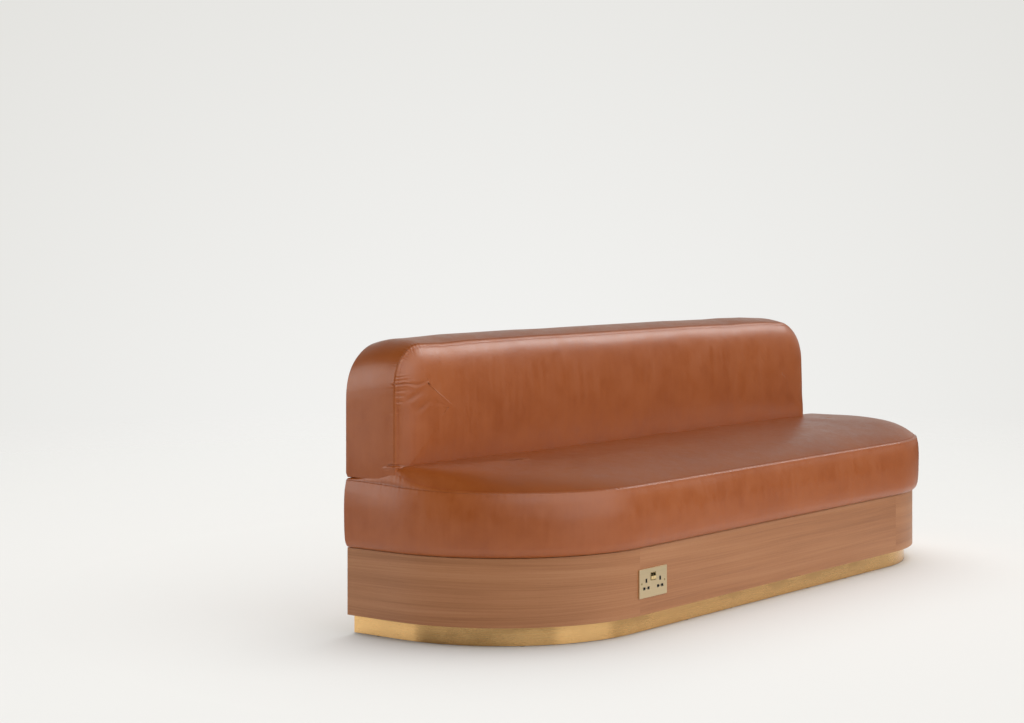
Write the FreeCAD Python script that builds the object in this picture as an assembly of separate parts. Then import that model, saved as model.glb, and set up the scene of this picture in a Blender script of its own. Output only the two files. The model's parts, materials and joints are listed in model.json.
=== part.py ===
import FreeCAD, Part
import math
import os

# Upholstered banquette bench, in millimetres.
# +Z is up, +X runs along the bench to a sitter's left, and the front faces -Y.
# The origin is on the floor, under the centre of the overall length and depth.

# Bench plan
bench_length = 2650.0
bench_depth = 702.0
corner_radius = 520.0
seat_bulge = 20.0

# Clearances and cuts
fit = 0.3
screw_clearance = 0.1
running_clearance = 0.05
overrun = 5.0
far = 4000.0

# Base heights and sheets
glide_height = 2.0
kick_height = 57.0
kick_inset = 30.6
kick_sheet = 1.5
apron_height = 201.0
veneer = 0.8
plywood = 18.0

# Plinth and glides
cross_rail_place_shares = (-0.80, -0.33, 0.14, 0.60)
glide_radius = 8.5
glide_pin_radius = 2.0
glide_pin_length = 12.0
glide_end_share = 0.30
glide_corner_share = 0.62

# Cross ribs and back legs: shares of the back's length, and of half the bench for the end rib
rib_place_shares = (0.114, 0.379, 0.643, 0.902)
end_rib_share = 0.85
leg_width = 45.0

# Wood screws
screw_radius = 2.2
screw_head_radius = 4.5
screw_head_height = 3.0
deck_screw_length = 45.0
pad_screw_length = 28.0
seat_board_screw_length = 40.0
screw_row_shares = (0.18, 0.78)

# Leg bolts
bolt_radius = 4.0
bolt_head_radius = 9.0
bolt_head_height = 4.0
bolt_length = 60.0
bolt_row_shares = (0.25, 0.75)

# Seat cushion: side band from the wood to the seam, then the crowned top panel
seat_band_height = 188.0
seat_seam_bulge = 5.0
seat_crown = 66.0
seat_crown_reach = 75.0
seat_crown_span_share = 0.96
pad_board = 15.0
pad_board_inset = 25.0

# Height share up the side band and share of the bulge there
seat_band_shares = (
    (0.0, 0.0), (0.02, 0.38), (0.06, 0.72), (0.14, 0.94), (0.30, 1.0), (0.53, 0.98), (0.82, 0.66),
)

# Back cushion: side band from the rear to the seam, then the crowned front panel
back_length = 2362.0
back_overhang = 11.0
back_foot_height = 209.0
back_height = 417.0
back_band_depth = 190.0
back_band_bulge = 15.0
back_end_bulge = 5.0
back_corner_radius = 170.0
back_corner_pull = 30.0
back_crown = 32.0
back_crown_reach = 35.0
back_crown_span_share = 0.75
crown_step_shares = (0.0, 0.05, 0.12, 0.21, 0.33, 0.50, 0.72, 1.0)

# Back frame inside the cushion
back_wall = 31.0
panel_margin = 8.0
outside_panel = 4.0
frame_depth = 84.0
frame_timber = 45.0
back_board = 12.0

# Double socket in the front apron, set from the start of the left bend
socket_setback = 64.0
socket_height = 94.0
plate_margin = 12.7
plate_lap = 6.5
plate_proud = 4.0
plate_sheet = 1.5
plate_corner_radius = 3.0
outlet_spacing = 73.0
earth_height = 7.5
live_height = -15.0
live_spacing = 22.2
earth_slot_width = 4.8
earth_slot_height = 8.8
live_slot_width = 7.2
live_slot_height = 4.8
island_margin = 1.0
island_drop = 0.4
neck_height = 1.6
plate_screw_radius = 1.75
plate_screw_head_radius = 3.4
plate_screw_length = 24.0

# Socket mouldings
moulding_edge = 2.8
moulding_gap = 1.3
moulding_height = 62.0
cavity_start = 8.7
cavity_depth = 3.1
carrier_depth = 12.2
contact_leaf = 0.8
contact_length = 9.0
live_contact_width = 9.0
live_contact_gap = 4.2
earth_contact_width = 5.4
earth_contact_gap = 8.4
busbar = 1.0
busbar_height = 3.0
busbar_offset = 2.6
busbar_peg = 2.0
terminal_size = 7.0
terminal_bore_radius = 2.0
terminal_spacing = 16.0

# Switch rockers
rocker_height = 17.5
rocker_width = 12.1
rocker_length = 20.0
rocker_gap = 0.6
rocker_front = 5.4
rocker_end_front = 4.6
rocker_back = 3.5
rocker_back_length = 16.0
rocker_tilt = 6.0
rocker_side_gap = 0.6
rocker_end_gap = 1.0
rocker_pocket_depth = 8.0
rocker_collar = 1.2
rocker_collar_proud = 0.3
axle_radius = 1.0
axle_seat = 2.5
axle_wall = 1.5
pivot_depth = 1.0

# Pin shutters
shutter_width = 32.0
shutter_height = 8.0
shutter_sheet = 2.5
shutter_travel = 6.0
tongue_width = 6.0
tongue_rise = 2.0
spring_length = 10.0
spring_radius = 1.2
spring_wire_radius = 0.15
spring_turns = 6

# Back box in the apron and the cable's way in
box_depth = 35.0
box_sheet = 1.2
box_clearance = 0.5
lug_width = 7.5
lug_height = 12.0
lug_depth = 3.0
lug_sheet = 2.0
lug_screw_inset = 3.5
box_screw_spacing = 80.0
box_screw_length = 22.0
grommet_bore_radius = 6.0
grommet_wall = 2.5
grommet_flange = 3.0
grommet_lip = 1.5

# Places worked out from the sizes above
overall_depth = bench_depth + seat_bulge
rear_y = overall_depth / 2
front_y = rear_y - bench_depth
half_length = bench_length / 2
corner_x = half_length - corner_radius
corner_y = front_y + corner_radius
side_length = bench_depth - corner_radius

plinth_top = glide_height + kick_height
deck_top = plinth_top + plywood
base_top = plinth_top + apron_height
board_foot = base_top - plywood
seam_z = base_top + seat_band_height
seat_crown_span = side_length * seat_crown_span_share

kick_inner = -kick_inset - kick_sheet
plinth_inner = kick_inner - plywood
core_outer = -veneer
core_inner = core_outer - plywood

back_left = -half_length - back_overhang
back_right = back_left + back_length
back_foot = base_top + back_foot_height + fit
back_top = back_foot + back_height
back_seam_radius = back_corner_radius - back_band_bulge - back_corner_pull
back_crown_span = back_seam_radius * back_crown_span_share
frame_inset = back_wall + fit
frame_front = outside_panel + frame_depth
board_front = frame_front + back_board

socket_x = socket_setback - corner_x
socket_z = plinth_top + socket_height
moulding_width = outlet_spacing + live_spacing + live_slot_width + 2 * (island_margin + moulding_edge)
box_width = moulding_width + 2 * (moulding_gap + lug_width + box_sheet)
box_height = moulding_height + 2 * (moulding_gap + screw_head_height + box_sheet)
plate_screw_spacing = box_width - 2 * (box_sheet + lug_screw_inset)
plate_width = plate_screw_spacing + 2 * plate_margin
plate_height = box_height + 2 * plate_lap
cavity_end = cavity_start + cavity_depth
carrier_end = cavity_end + carrier_depth


# Basic shapes
def vector(x, y, z):
    """Point in bench coordinates."""
    return FreeCAD.Vector(x, y, z)


def block(x_range, y_range, z_range):
    """Box between two values on each axis."""
    low = vector(x_range[0], y_range[0], z_range[0])
    return Part.makeBox(x_range[1] - x_range[0], y_range[1] - y_range[0], z_range[1] - z_range[0], low)


def deep(near, distant):
    """Y range between two depths measured forward from the rear plane."""
    return (rear_y - distant, rear_y - near)


def around(centre, width):
    """Range of a given width about a centre."""
    return (centre - width / 2, centre + width / 2)


def rod(radius, length, start, direction):
    """Round bar from a start point."""
    return Part.makeCylinder(radius, length, start, direction)


def line(start, end):
    """Straight edge."""
    return Part.LineSegment(start, end).toShape()


def arc(start, middle, end):
    """Round edge through three points."""
    return Part.Arc(start, middle, end).toShape()


def cut_away(shape, tools):
    """Shape with every tool taken away."""
    for tool in tools:
        shape = shape.cut(tool)
    return shape


def together(shapes):
    """Separate solids kept as one group."""
    return Part.Compound(shapes)


UP = vector(0, 0, 1)
DOWN = vector(0, 0, -1)
FORWARD = vector(0, -1, 0)
INWARD = vector(0, 1, 0)
ALONG = vector(1, 0, 0)


# Bench outline in plan
def plan_wire(side, rear, z):
    """Bench outline moved outward by side at the ends and front and by rear at the back."""
    half = half_length + side
    radius = corner_radius + side
    back_y = rear_y + rear
    corner_front = corner_y - radius
    reach = radius * math.sin(math.pi / 4)
    left_side = vector(-half, corner_y, z)
    left_front = vector(-corner_x, corner_front, z)
    right_front = vector(corner_x, corner_front, z)
    right_side = vector(half, corner_y, z)
    left_middle = vector(-corner_x - reach, corner_y - reach, z)
    right_middle = vector(corner_x + reach, corner_y - reach, z)
    rear_left = vector(-half, back_y, z)
    rear_right = vector(half, back_y, z)
    edges = [
        line(rear_left, left_side),
        arc(left_side, left_middle, left_front),
        line(left_front, right_front),
        arc(right_front, right_middle, right_side),
        line(right_side, rear_right),
        line(rear_right, rear_left),
    ]
    return Part.Wire(edges)


def plan_slab(side, rear, low, high):
    """Flat slab of the bench outline."""
    face = Part.Face(plan_wire(side, rear, low))
    return face.extrude(vector(0, 0, high - low))


def plan_band(outer, inner, low, high):
    """Band round the ends and the front, open at the rear."""
    hollow = plan_slab(inner, overrun, low - overrun, high + overrun)
    return plan_slab(outer, 0, low, high).cut(hollow)


def part_along(shape, x_range):
    """The stretch of a shape between two places along the bench."""
    return shape.common(block(x_range, (-far, far), (-far, far)))


def left_part(shape):
    """The bent stretch at the left end."""
    return part_along(shape, (-far, -corner_x))


def middle_part(shape):
    """The straight stretch at the front."""
    return part_along(shape, (-corner_x, corner_x))


def right_part(shape):
    """The bent stretch at the right end."""
    return part_along(shape, (corner_x, far))


# Screws
def screw(head_point, direction, length, shank, head, head_height):
    """Countersunk screw with its head flush at a point."""
    cone = Part.makeCone(head, shank, head_height, head_point, direction)
    return cone.fuse(rod(shank, length, head_point, direction)).removeSplitter()


def wood_screw(head_point, direction, length):
    """Countersunk wood screw."""
    return screw(head_point, direction, length, screw_radius, screw_head_radius, screw_head_height)


def wood_screw_hole(head_point, direction, length):
    """Hole that a wood screw fills."""
    shank = screw_radius + screw_clearance
    head = screw_head_radius + screw_clearance
    return screw(head_point, direction, length + screw_clearance, shank, head, screw_head_height)


def rib_places():
    """Centre of each rib that carries a back leg."""
    return [back_left + back_length * share for share in rib_place_shares]


def all_rib_places():
    """Centre of every cross rib."""
    return rib_places() + [half_length * end_rib_share]


def cross_rail_places():
    """Centre of each plinth cross rail."""
    return [half_length * share for share in cross_rail_place_shares]


def band_front(x, side):
    """Y of a band's face at a place along the bench, the face being moved outward by side."""
    radius = corner_radius + side
    past_corner = abs(x) - corner_x
    if past_corner < 0:
        return corner_y - radius
    return corner_y - math.sqrt(radius * radius - past_corner * past_corner)


def screw_rows(places, side, z):
    """Screw heads in rows between the rear plane and a band's face."""
    points = []
    for x in places:
        depth = rear_y - band_front(x, side)
        points += [vector(x, rear_y - depth * share, z) for share in screw_row_shares]
    return points


def deck_screw_points():
    """Deck screw heads over the plinth cross rails."""
    return screw_rows(cross_rail_places(), plinth_inner, deck_top)


def seat_board_screw_points():
    """Seat board screw heads over the cross ribs."""
    return screw_rows(all_rib_places(), core_inner, base_top)


def pad_screw_points():
    """Pad screw heads under the seat board, midway between ribs."""
    ribs = all_rib_places()
    middles = [(ribs[place] + ribs[place + 1]) / 2 for place in range(len(ribs) - 1)]
    return screw_rows(middles, -pad_board_inset, board_foot)


def drilled(shape, points, direction, length):
    """Shape with a screw hole at each point."""
    return cut_away(shape, [wood_screw_hole(point, direction, length) for point in points])


# Plinth and kick plate
def kick_plate():
    """Brass sheet round the ends and the front."""
    return plan_band(-kick_inset, kick_inner, glide_height, plinth_top)


def plinth_band():
    """Plywood band behind the kick plate, before it is split."""
    return plan_band(kick_inner, plinth_inner, glide_height, plinth_top)


def glide_holes():
    """Holes for the glide pins."""
    length = glide_pin_length + screw_clearance
    radius = glide_pin_radius + screw_clearance
    return [rod(radius, length, vector(x, y, glide_height), UP) for x, y in glide_places()]


def glide_places():
    """Glides under the middle of the plinth rails."""
    rail_middle = (kick_inner + plinth_inner) / 2
    front_rail_y = corner_y - corner_radius - rail_middle
    end_rail_x = half_length + rail_middle
    rear_rail_y = rear_y - plywood / 2
    turn = (corner_radius + rail_middle) * math.sin(math.pi / 4)
    side_y = rear_y - side_length / 2
    places = [(-corner_x - turn, corner_y - turn), (corner_x + turn, corner_y - turn)]
    places += [(-end_rail_x, side_y), (end_rail_x, side_y)]
    for share in (-glide_corner_share, -glide_end_share, glide_end_share, glide_corner_share):
        places += [(corner_x * share, front_rail_y), (half_length * share, rear_rail_y)]
    return places


def plinth_front_rail():
    """Straight front rail of the plinth."""
    return cut_away(middle_part(plinth_band()), glide_holes())


def plinth_left_corner():
    """Bent left rail of the plinth."""
    return cut_away(left_part(plinth_band()), glide_holes())


def plinth_right_corner():
    """Bent right rail of the plinth."""
    return cut_away(right_part(plinth_band()), glide_holes())


def plinth_rear_rail():
    """Rear rail between the ends of the bent rails."""
    half = half_length + plinth_inner
    rail = block((-half, half), deep(0, plywood), (glide_height, plinth_top))
    return cut_away(rail, glide_holes())


def plinth_cross_rails():
    """Rails from the rear rail to the front rail."""
    inside = plan_slab(plinth_inner, -plywood, glide_height, plinth_top)
    rails = []
    for x in cross_rail_places():
        rail = inside.common(block(around(x, plywood), (-far, far), (-far, far)))
        rails.append(drilled(rail, deck_screw_points(), DOWN, deck_screw_length))
    return together(rails)


def glides():
    """Nylon glides with their pins."""
    feet = []
    for x, y in glide_places():
        disc = rod(glide_radius, glide_height, vector(x, y, 0), UP)
        pin = rod(glide_pin_radius, glide_height + glide_pin_length, vector(x, y, 0), UP)
        feet.append(disc.fuse(pin).removeSplitter())
    return together(feet)


# Base box
def deck():
    """Bottom board inside the aprons."""
    board = plan_slab(core_inner, -plywood, plinth_top, deck_top)
    return drilled(board, deck_screw_points(), DOWN, deck_screw_length)


def deck_screws():
    """Screws that hold the deck on the plinth."""
    return together([wood_screw(point, DOWN, deck_screw_length) for point in deck_screw_points()])


def socket_opening():
    """Cut-out for the back box, right through the apron."""
    width = box_width + 2 * box_clearance
    height = box_height + 2 * box_clearance
    return socket_block(around(0, width), (-overrun, plywood + veneer + overrun), around(0, height))


def apron_core():
    """Plywood band behind the veneer, before it is split."""
    return plan_band(core_outer, core_inner, plinth_top, base_top)


def apron_joint():
    """Place of the joint between the front apron and each bent apron, clear of the socket."""
    return corner_x + plywood


def left_apron():
    """Bent plywood at the left end."""
    return part_along(apron_core(), (-far, -apron_joint()))


def right_apron():
    """Bent plywood at the right end."""
    return part_along(apron_core(), (apron_joint(), far))


def front_apron():
    """Straight plywood at the front, with the socket's cut-out and box screw holes."""
    apron = part_along(apron_core(), (-apron_joint(), apron_joint()))
    return cut_away(apron, [socket_opening()] + box_screw_holes())


def veneer_band():
    """Veneer round the aprons, before it is split."""
    return plan_band(0, core_outer, plinth_top, base_top)


def left_veneer():
    """Veneer leaf on the left bend."""
    return left_part(veneer_band()).cut(socket_opening())


def front_veneer():
    """Veneer leaf on the straight front."""
    return middle_part(veneer_band()).cut(socket_opening())


def right_veneer():
    """Veneer leaf on the right bend."""
    return right_part(veneer_band())


def rear_panel():
    """Rear panel between the bent aprons, with bolt holes and the cable's hole."""
    half = half_length + core_inner
    panel = block((-half, half), deep(0, plywood), (plinth_top, base_top))
    return cut_away(panel, bolt_holes() + [cable_hole()])


def cross_ribs():
    """Upright ribs from the rear panel to the front apron."""
    inside = plan_slab(core_inner, -plywood, deck_top, board_foot)
    ribs = []
    for x in all_rib_places():
        rib = inside.common(block(around(x, plywood), (-far, far), (-far, far)))
        ribs.append(drilled(rib, seat_board_screw_points(), DOWN, seat_board_screw_length))
    return together(ribs)


def seat_board():
    """Top board of the base, with a slot for each back leg."""
    board = plan_slab(core_inner, -plywood, board_foot, base_top)
    board = drilled(board, seat_board_screw_points(), DOWN, seat_board_screw_length)
    board = drilled(board, pad_screw_points(), UP, pad_screw_length)
    return cut_away(board, back_leg_blocks(screw_clearance))


def seat_board_screws():
    """Screws that hold the seat board on the ribs."""
    points = seat_board_screw_points()
    return together([wood_screw(point, DOWN, seat_board_screw_length) for point in points])


# Seat
def crown_steps(span, crown, reach):
    """Pairs of distance in from the seam and rise of the crown there."""
    pairs = []
    for share in crown_step_shares:
        distance = span * share
        pairs.append((distance, crown * (1 - math.exp(-distance / reach))))
    return pairs


def seat_form():
    """Whole seat cushion before the back sinks into it."""
    band = []
    for rise, bulge in seat_band_shares:
        band.append(plan_wire(seat_bulge * bulge, 0, base_top + seat_band_height * rise))
    band.append(plan_wire(seat_seam_bulge, 0, seam_z))
    top = []
    for distance, rise in crown_steps(seat_crown_span, seat_crown, seat_crown_reach):
        top.append(plan_wire(seat_seam_bulge - distance, -distance, seam_z + rise))
    return Part.makeLoft(band, True, True).fuse(Part.makeLoft(top, True))


def pad_board_slab(clearance):
    """Space of the board under the seat cushion."""
    side = clearance - pad_board_inset
    return plan_slab(side, side, base_top, base_top + pad_board + clearance)


def seat_pad_board():
    """Board that the seat foam is glued to."""
    board = drilled(pad_board_slab(0), pad_screw_points(), UP, pad_screw_length)
    return cut_away(board, back_leg_blocks(screw_clearance))


def seat_cushion():
    """Foam and leather of the seat, sunk under the back and pierced by the back legs."""
    cushion = seat_form().cut(back_form(fit))
    return cut_away(cushion.cut(pad_board_slab(fit)), back_leg_blocks(fit))


def pad_screws():
    """Screws up through the seat board into the pad board."""
    return together([wood_screw(point, UP, pad_screw_length) for point in pad_screw_points()])


# Back
def back_wire(end, inset, foot, radius, depth):
    """Outline of the back in elevation, drawn in by end at the ends, inset above and foot below."""
    left = back_left + end
    right = back_right - end
    top = back_top - inset
    bottom = back_foot + foot
    turn = radius * (1 - math.sin(math.pi / 4))
    y = rear_y - depth
    left_bottom = vector(left, y, bottom)
    left_side = vector(left, y, top - radius)
    left_middle = vector(left + turn, y, top - turn)
    left_top = vector(left + radius, y, top)
    right_top = vector(right - radius, y, top)
    right_middle = vector(right - turn, y, top - turn)
    right_side = vector(right, y, top - radius)
    right_bottom = vector(right, y, bottom)
    edges = [
        line(left_bottom, left_side),
        arc(left_side, left_middle, left_top),
        line(left_top, right_top),
        arc(right_top, right_middle, right_side),
        line(right_side, right_bottom),
        line(right_bottom, left_bottom),
    ]
    return Part.Wire(edges)


def back_slab(inset, foot, near, distant):
    """Flat slab of the back outline between two depths."""
    face = Part.Face(back_wire(inset, inset, foot, back_corner_radius - inset, near))
    return face.extrude(vector(0, near - distant, 0))


def back_form(grow):
    """Whole back cushion, made larger all round by grow."""
    half_band = back_band_depth / 2
    band = []
    for side_share in (-1.0, -0.5, 0.0, 0.5, 1.0):
        end = back_end_bulge * side_share * side_share - grow
        inset = back_band_bulge * side_share * side_share - grow
        radius = back_corner_radius - inset - back_corner_pull * (1 + side_share) / 2
        band.append(back_wire(end, inset, -grow, radius, half_band + half_band * side_share))
    front = []
    for distance, rise in crown_steps(back_crown_span, back_crown, back_crown_reach):
        depth = back_band_depth + rise + grow * distance / back_crown_span
        step = distance - grow
        radius = back_seam_radius - step
        front.append(back_wire(back_end_bulge + step, back_band_bulge + step, step, radius, depth))
    return Part.makeLoft(band, True).fuse(Part.makeLoft(front, True))


def back_cushion():
    """Foam and leather of the back, open at the rear for its frame."""
    recess = back_band_bulge + panel_margin - fit
    panel_space = back_slab(recess, recess, -overrun, outside_panel + fit)
    frame_space = back_slab(back_wall, back_wall, -overrun, board_front + fit)
    return cut_away(back_form(0), [panel_space, frame_space] + back_leg_blocks(fit))


def outside_back_panel():
    """Leather-covered panel that closes the rear of the back."""
    inset = back_band_bulge + panel_margin
    return back_slab(inset, inset, 0, outside_panel)


def back_front_board():
    """Board across the front of the back frame, behind the foam."""
    return back_slab(frame_inset, frame_inset, frame_front, board_front)


def frame_ring():
    """Outline of the back frame as one ring, before it is split."""
    outer = back_slab(frame_inset, frame_inset, outside_panel, frame_front)
    inset = frame_inset + frame_timber
    inner = back_slab(inset, inset, outside_panel - overrun, frame_front + overrun)
    return outer.cut(inner)


def frame_corner_ranges():
    """Ranges along the bench taken by the two rounded corners."""
    left = (back_left, back_left + back_corner_radius)
    right = (back_right - back_corner_radius, back_right)
    return (left, right)


def back_top_rail():
    """Straight rail along the top of the back frame."""
    left, right = frame_corner_ranges()
    upper = block((left[1], right[0]), (-far, far), (back_top - back_corner_radius, back_top))
    return frame_ring().common(upper)


def back_corner_blocks():
    """Rounded blocks in the top corners of the back frame."""
    upper = (back_top - back_corner_radius, back_top)
    return together([frame_ring().common(block(span, (-far, far), upper)) for span in frame_corner_ranges()])


def back_end_stiles():
    """Upright timbers at the ends of the back frame."""
    inset = frame_inset + frame_timber
    lower = (back_foot, back_top - back_corner_radius)
    spans = ((back_left, back_left + inset), (back_right - inset, back_right))
    return together([frame_ring().common(block(span, (-far, far), lower)) for span in spans])


def back_bottom_rails():
    """Bottom rail of the back frame, cut to fit between stiles and legs."""
    inset = frame_inset + frame_timber
    span = (back_left + inset, back_right - inset)
    rail = frame_ring().common(block(span, (-far, far), (back_foot, back_foot + inset)))
    return rail.cut(together(back_leg_blocks(0)))


def back_leg_blocks(clearance):
    """Space of each back leg beside its rib, from the deck to the top rail."""
    blocks = []
    for x in rib_places():
        near = x + plywood / 2
        span = (near - clearance, near + leg_width + clearance)
        depths = deep(plywood - clearance, frame_front + clearance)
        blocks.append(block(span, depths, (deck_top, back_top - frame_inset - frame_timber)))
    return blocks


def back_legs():
    """Legs of the back frame, bolted to the rear panel."""
    return together([cut_away(leg, bolt_holes()) for leg in back_leg_blocks(0)])


# Leg bolts
def bolt_points():
    """Bolt heads on the rear face, two to a leg."""
    rise = board_foot - deck_top
    places = []
    for x in rib_places():
        for share in bolt_row_shares:
            places.append(vector(x + (plywood + leg_width) / 2, rear_y, deck_top + rise * share))
    return places


def bolt(point, clearance):
    """Bolt with a flat round head sunk flush in the rear panel."""
    head = rod(bolt_head_radius + clearance, bolt_head_height + clearance, point, FORWARD)
    return head.fuse(rod(bolt_radius + clearance, bolt_length + clearance, point, FORWARD)).removeSplitter()


def leg_bolts():
    """All leg bolts."""
    return together([bolt(point, 0) for point in bolt_points()])


def bolt_holes():
    """Holes that the leg bolts fill."""
    return [bolt(point, screw_clearance) for point in bolt_points()]


# Socket places: x and z from the plate's centre, depth inward from the wood's face
def socket_point(x, depth, z):
    """Point in the socket's own places."""
    return vector(socket_x + x, front_y + depth, socket_z + z)


def socket_block(x_range, depth_range, z_range):
    """Box in the socket's own places."""
    x_span = (socket_x + x_range[0], socket_x + x_range[1])
    y_span = (front_y + depth_range[0], front_y + depth_range[1])
    z_span = (socket_z + z_range[0], socket_z + z_range[1])
    return block(x_span, y_span, z_span)


def rounded_plate(width, height, radius, depth_range):
    """Plate with rounded corners in the socket's own places."""
    plate = socket_block(around(0, width), depth_range, around(0, height))
    upright = [edge for edge in plate.Edges if abs(edge.tangentAt(edge.FirstParameter).y) > 1 / 2]
    return plate.makeFillet(radius, upright)


def outlet_centres():
    """Centre of each outlet along the bench."""
    return (-outlet_spacing / 2, outlet_spacing / 2)


def pin_places():
    """Centre, width and height of each pin slot."""
    slots = []
    for x in outlet_centres():
        slots.append((x, earth_height, earth_slot_width, earth_slot_height))
        slots.append((x - live_spacing / 2, live_height, live_slot_width, live_slot_height))
        slots.append((x + live_spacing / 2, live_height, live_slot_width, live_slot_height))
    return slots


def islands(grow, depth_range):
    """Raised parts of the moulding that show in the plate round the pin slots."""
    margin = 2 * (island_margin + grow)
    shapes = []
    for x, z, width, height in pin_places():
        shapes.append(socket_block(around(x, width + margin), depth_range, around(z, height + margin)))
    for x in outlet_centres():
        neck = around(live_height, neck_height + 2 * grow)
        shapes.append(socket_block(around(x, live_spacing), depth_range, neck))
    return shapes


def rocker_pocket_size():
    """Width and height of the pocket for both rockers."""
    width = 2 * rocker_width + rocker_gap + 2 * rocker_side_gap
    return (width, rocker_length + 2 * rocker_end_gap)


def collar_block(grow, depth_range):
    """Collar round the rockers, before its pocket is cut."""
    width, height = rocker_pocket_size()
    margin = 2 * (rocker_collar + grow)
    return socket_block(around(0, width + margin), depth_range, around(rocker_height, height + margin))


def plate_screw_points(depth):
    """Plate screws at a depth."""
    return [socket_point(x, depth, 0) for x in around(0, plate_screw_spacing)]


def plate_screw_holes(clearance):
    """Holes for the plate screws."""
    shank = plate_screw_radius + clearance
    head = plate_screw_head_radius + clearance
    points = plate_screw_points(-plate_proud)
    return [screw(point, INWARD, plate_screw_length, shank, head, plate_sheet) for point in points]


def socket_faceplate():
    """Metal plate with a turned edge, pin openings and a switch opening."""
    depth_range = (-plate_proud, 0)
    plate = rounded_plate(plate_width, plate_height, plate_corner_radius, depth_range)
    inner_width = plate_width - 2 * plate_sheet
    inner_height = plate_height - 2 * plate_sheet
    inner_radius = plate_corner_radius - plate_sheet
    hollow = rounded_plate(inner_width, inner_height, inner_radius, (plate_sheet - plate_proud, overrun))
    through = (-plate_proud - overrun, overrun)
    tools = [hollow, collar_block(screw_clearance, through)] + islands(screw_clearance, through)
    return cut_away(plate, tools + plate_screw_holes(screw_clearance))


def faceplate_screws():
    """Two screws from the plate to the lugs of the back box."""
    return together(plate_screw_holes(0))


def moulding_part(x_range):
    """Stretch of the black front moulding, with its share of slots, pocket and cavities."""
    plate_back = plate_sheet - plate_proud
    body = socket_block(around(0, moulding_width), (plate_back, cavity_end), around(0, moulding_height))
    raised = islands(0, (island_drop - plate_proud, plate_back))
    raised.append(collar_block(0, (-plate_proud - rocker_collar_proud, plate_back)))
    for shape in raised:
        body = body.fuse(shape)
    through = (-plate_proud - overrun, cavity_end + overrun)
    tools = [socket_block(around(x, w), through, around(z, h)) for x, z, w, h in pin_places()]
    width, height = rocker_pocket_size()
    pocket_range = (-plate_proud - overrun, rocker_pocket_depth)
    tools.append(socket_block(around(0, width), pocket_range, around(rocker_height, height)))
    tools.append(axle_bar())
    for x in outlet_centres():
        tools += shutter_cavity(x)
    stretch = socket_block(x_range, (-far, far), (-far, far))
    return cut_away(body, tools).removeSplitter().common(stretch)


def switch_edge():
    """Distance from the plate's centre to the joints beside the switch moulding."""
    return rocker_pocket_size()[0] / 2 + axle_seat + axle_wall


def outlet_moulding_left():
    """Moulding of the left outlet, with its shutter's cavity."""
    return moulding_part((-far, -switch_edge()))


def switch_moulding():
    """Moulding between the outlets, with the rockers' pocket and collar."""
    return moulding_part((-switch_edge(), switch_edge()))


def outlet_moulding_right():
    """Moulding of the right outlet, with its shutter's cavity."""
    return moulding_part((switch_edge(), far))


def axle_bar():
    """Steel axle through both rockers, held in the moulding's walls."""
    length = rocker_pocket_size()[0] + 2 * axle_seat
    return rod(axle_radius, length, socket_point(-length / 2, pivot_depth, rocker_height), ALONG)


def rocker_profile(side):
    """Side view of a rocker: shallow front ridge, narrower back."""
    half = rocker_length / 2
    back_half = rocker_back_length / 2
    outline = [
        socket_point(side, -rocker_end_front, rocker_height + half),
        socket_point(side, -rocker_front, rocker_height),
        socket_point(side, -rocker_end_front, rocker_height - half),
        socket_point(side, 0, rocker_height - half),
        socket_point(side, rocker_back, rocker_height - back_half),
        socket_point(side, rocker_back, rocker_height + back_half),
        socket_point(side, 0, rocker_height + half),
    ]
    outline.append(outline[0])
    return Part.Face(Part.makePolygon(outline))


def rocker(side):
    """Rocker whose left face is at a place along the bench, tipped to its off position."""
    body = rocker_profile(side).extrude(vector(rocker_width, 0, 0))
    pivot = socket_point(side, pivot_depth, rocker_height)
    body.rotate(pivot, ALONG, -rocker_tilt)
    bore_start = socket_point(side - overrun, pivot_depth, rocker_height)
    bore = rod(axle_radius + running_clearance, rocker_width + 2 * overrun, bore_start, ALONG)
    return body.cut(bore)


def rocker_left():
    """Left switch rocker."""
    return rocker(-rocker_gap / 2 - rocker_width)


def rocker_right():
    """Right switch rocker."""
    return rocker(rocker_gap / 2)


def shutter_sheet_range():
    """Depths of a shutter inside its cavity."""
    return around(cavity_start + cavity_depth / 2, shutter_sheet)


def shutter_bottom():
    """Height of a closed shutter's lower edge."""
    return live_height - shutter_height / 2


def shutter(x):
    """T-shaped shutter that closes the line and neutral slots and reaches up to the earth slot."""
    depth_range = shutter_sheet_range()
    bar = socket_block(around(x, shutter_width), depth_range, around(live_height, shutter_height))
    tongue = socket_block(around(x, tongue_width), depth_range, (live_height, earth_height + tongue_rise))
    return bar.fuse(tongue).removeSplitter()


def shutter_cavity(x):
    """Space behind the pin slots in which a shutter slides down, with its spring's pocket."""
    depth_range = (cavity_start, cavity_end + overrun)
    low = shutter_bottom() - shutter_travel - fit
    bar_top = live_height + shutter_height / 2 + fit
    bar = socket_block(around(x, shutter_width + 2 * fit), depth_range, (low, bar_top))
    tongue_top = earth_height + tongue_rise + fit
    tongue = socket_block(around(x, tongue_width + 2 * fit), depth_range, (live_height, tongue_top))
    pocket_width = 2 * (spring_radius + spring_wire_radius + fit)
    spring_foot = shutter_bottom() - spring_length
    pocket = socket_block(around(x, pocket_width), depth_range, (spring_foot, live_height))
    return [bar, tongue, pocket]


def shutter_left():
    """Shutter of the left outlet."""
    return shutter(outlet_centres()[0])


def shutter_right():
    """Shutter of the right outlet."""
    return shutter(outlet_centres()[1])


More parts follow.
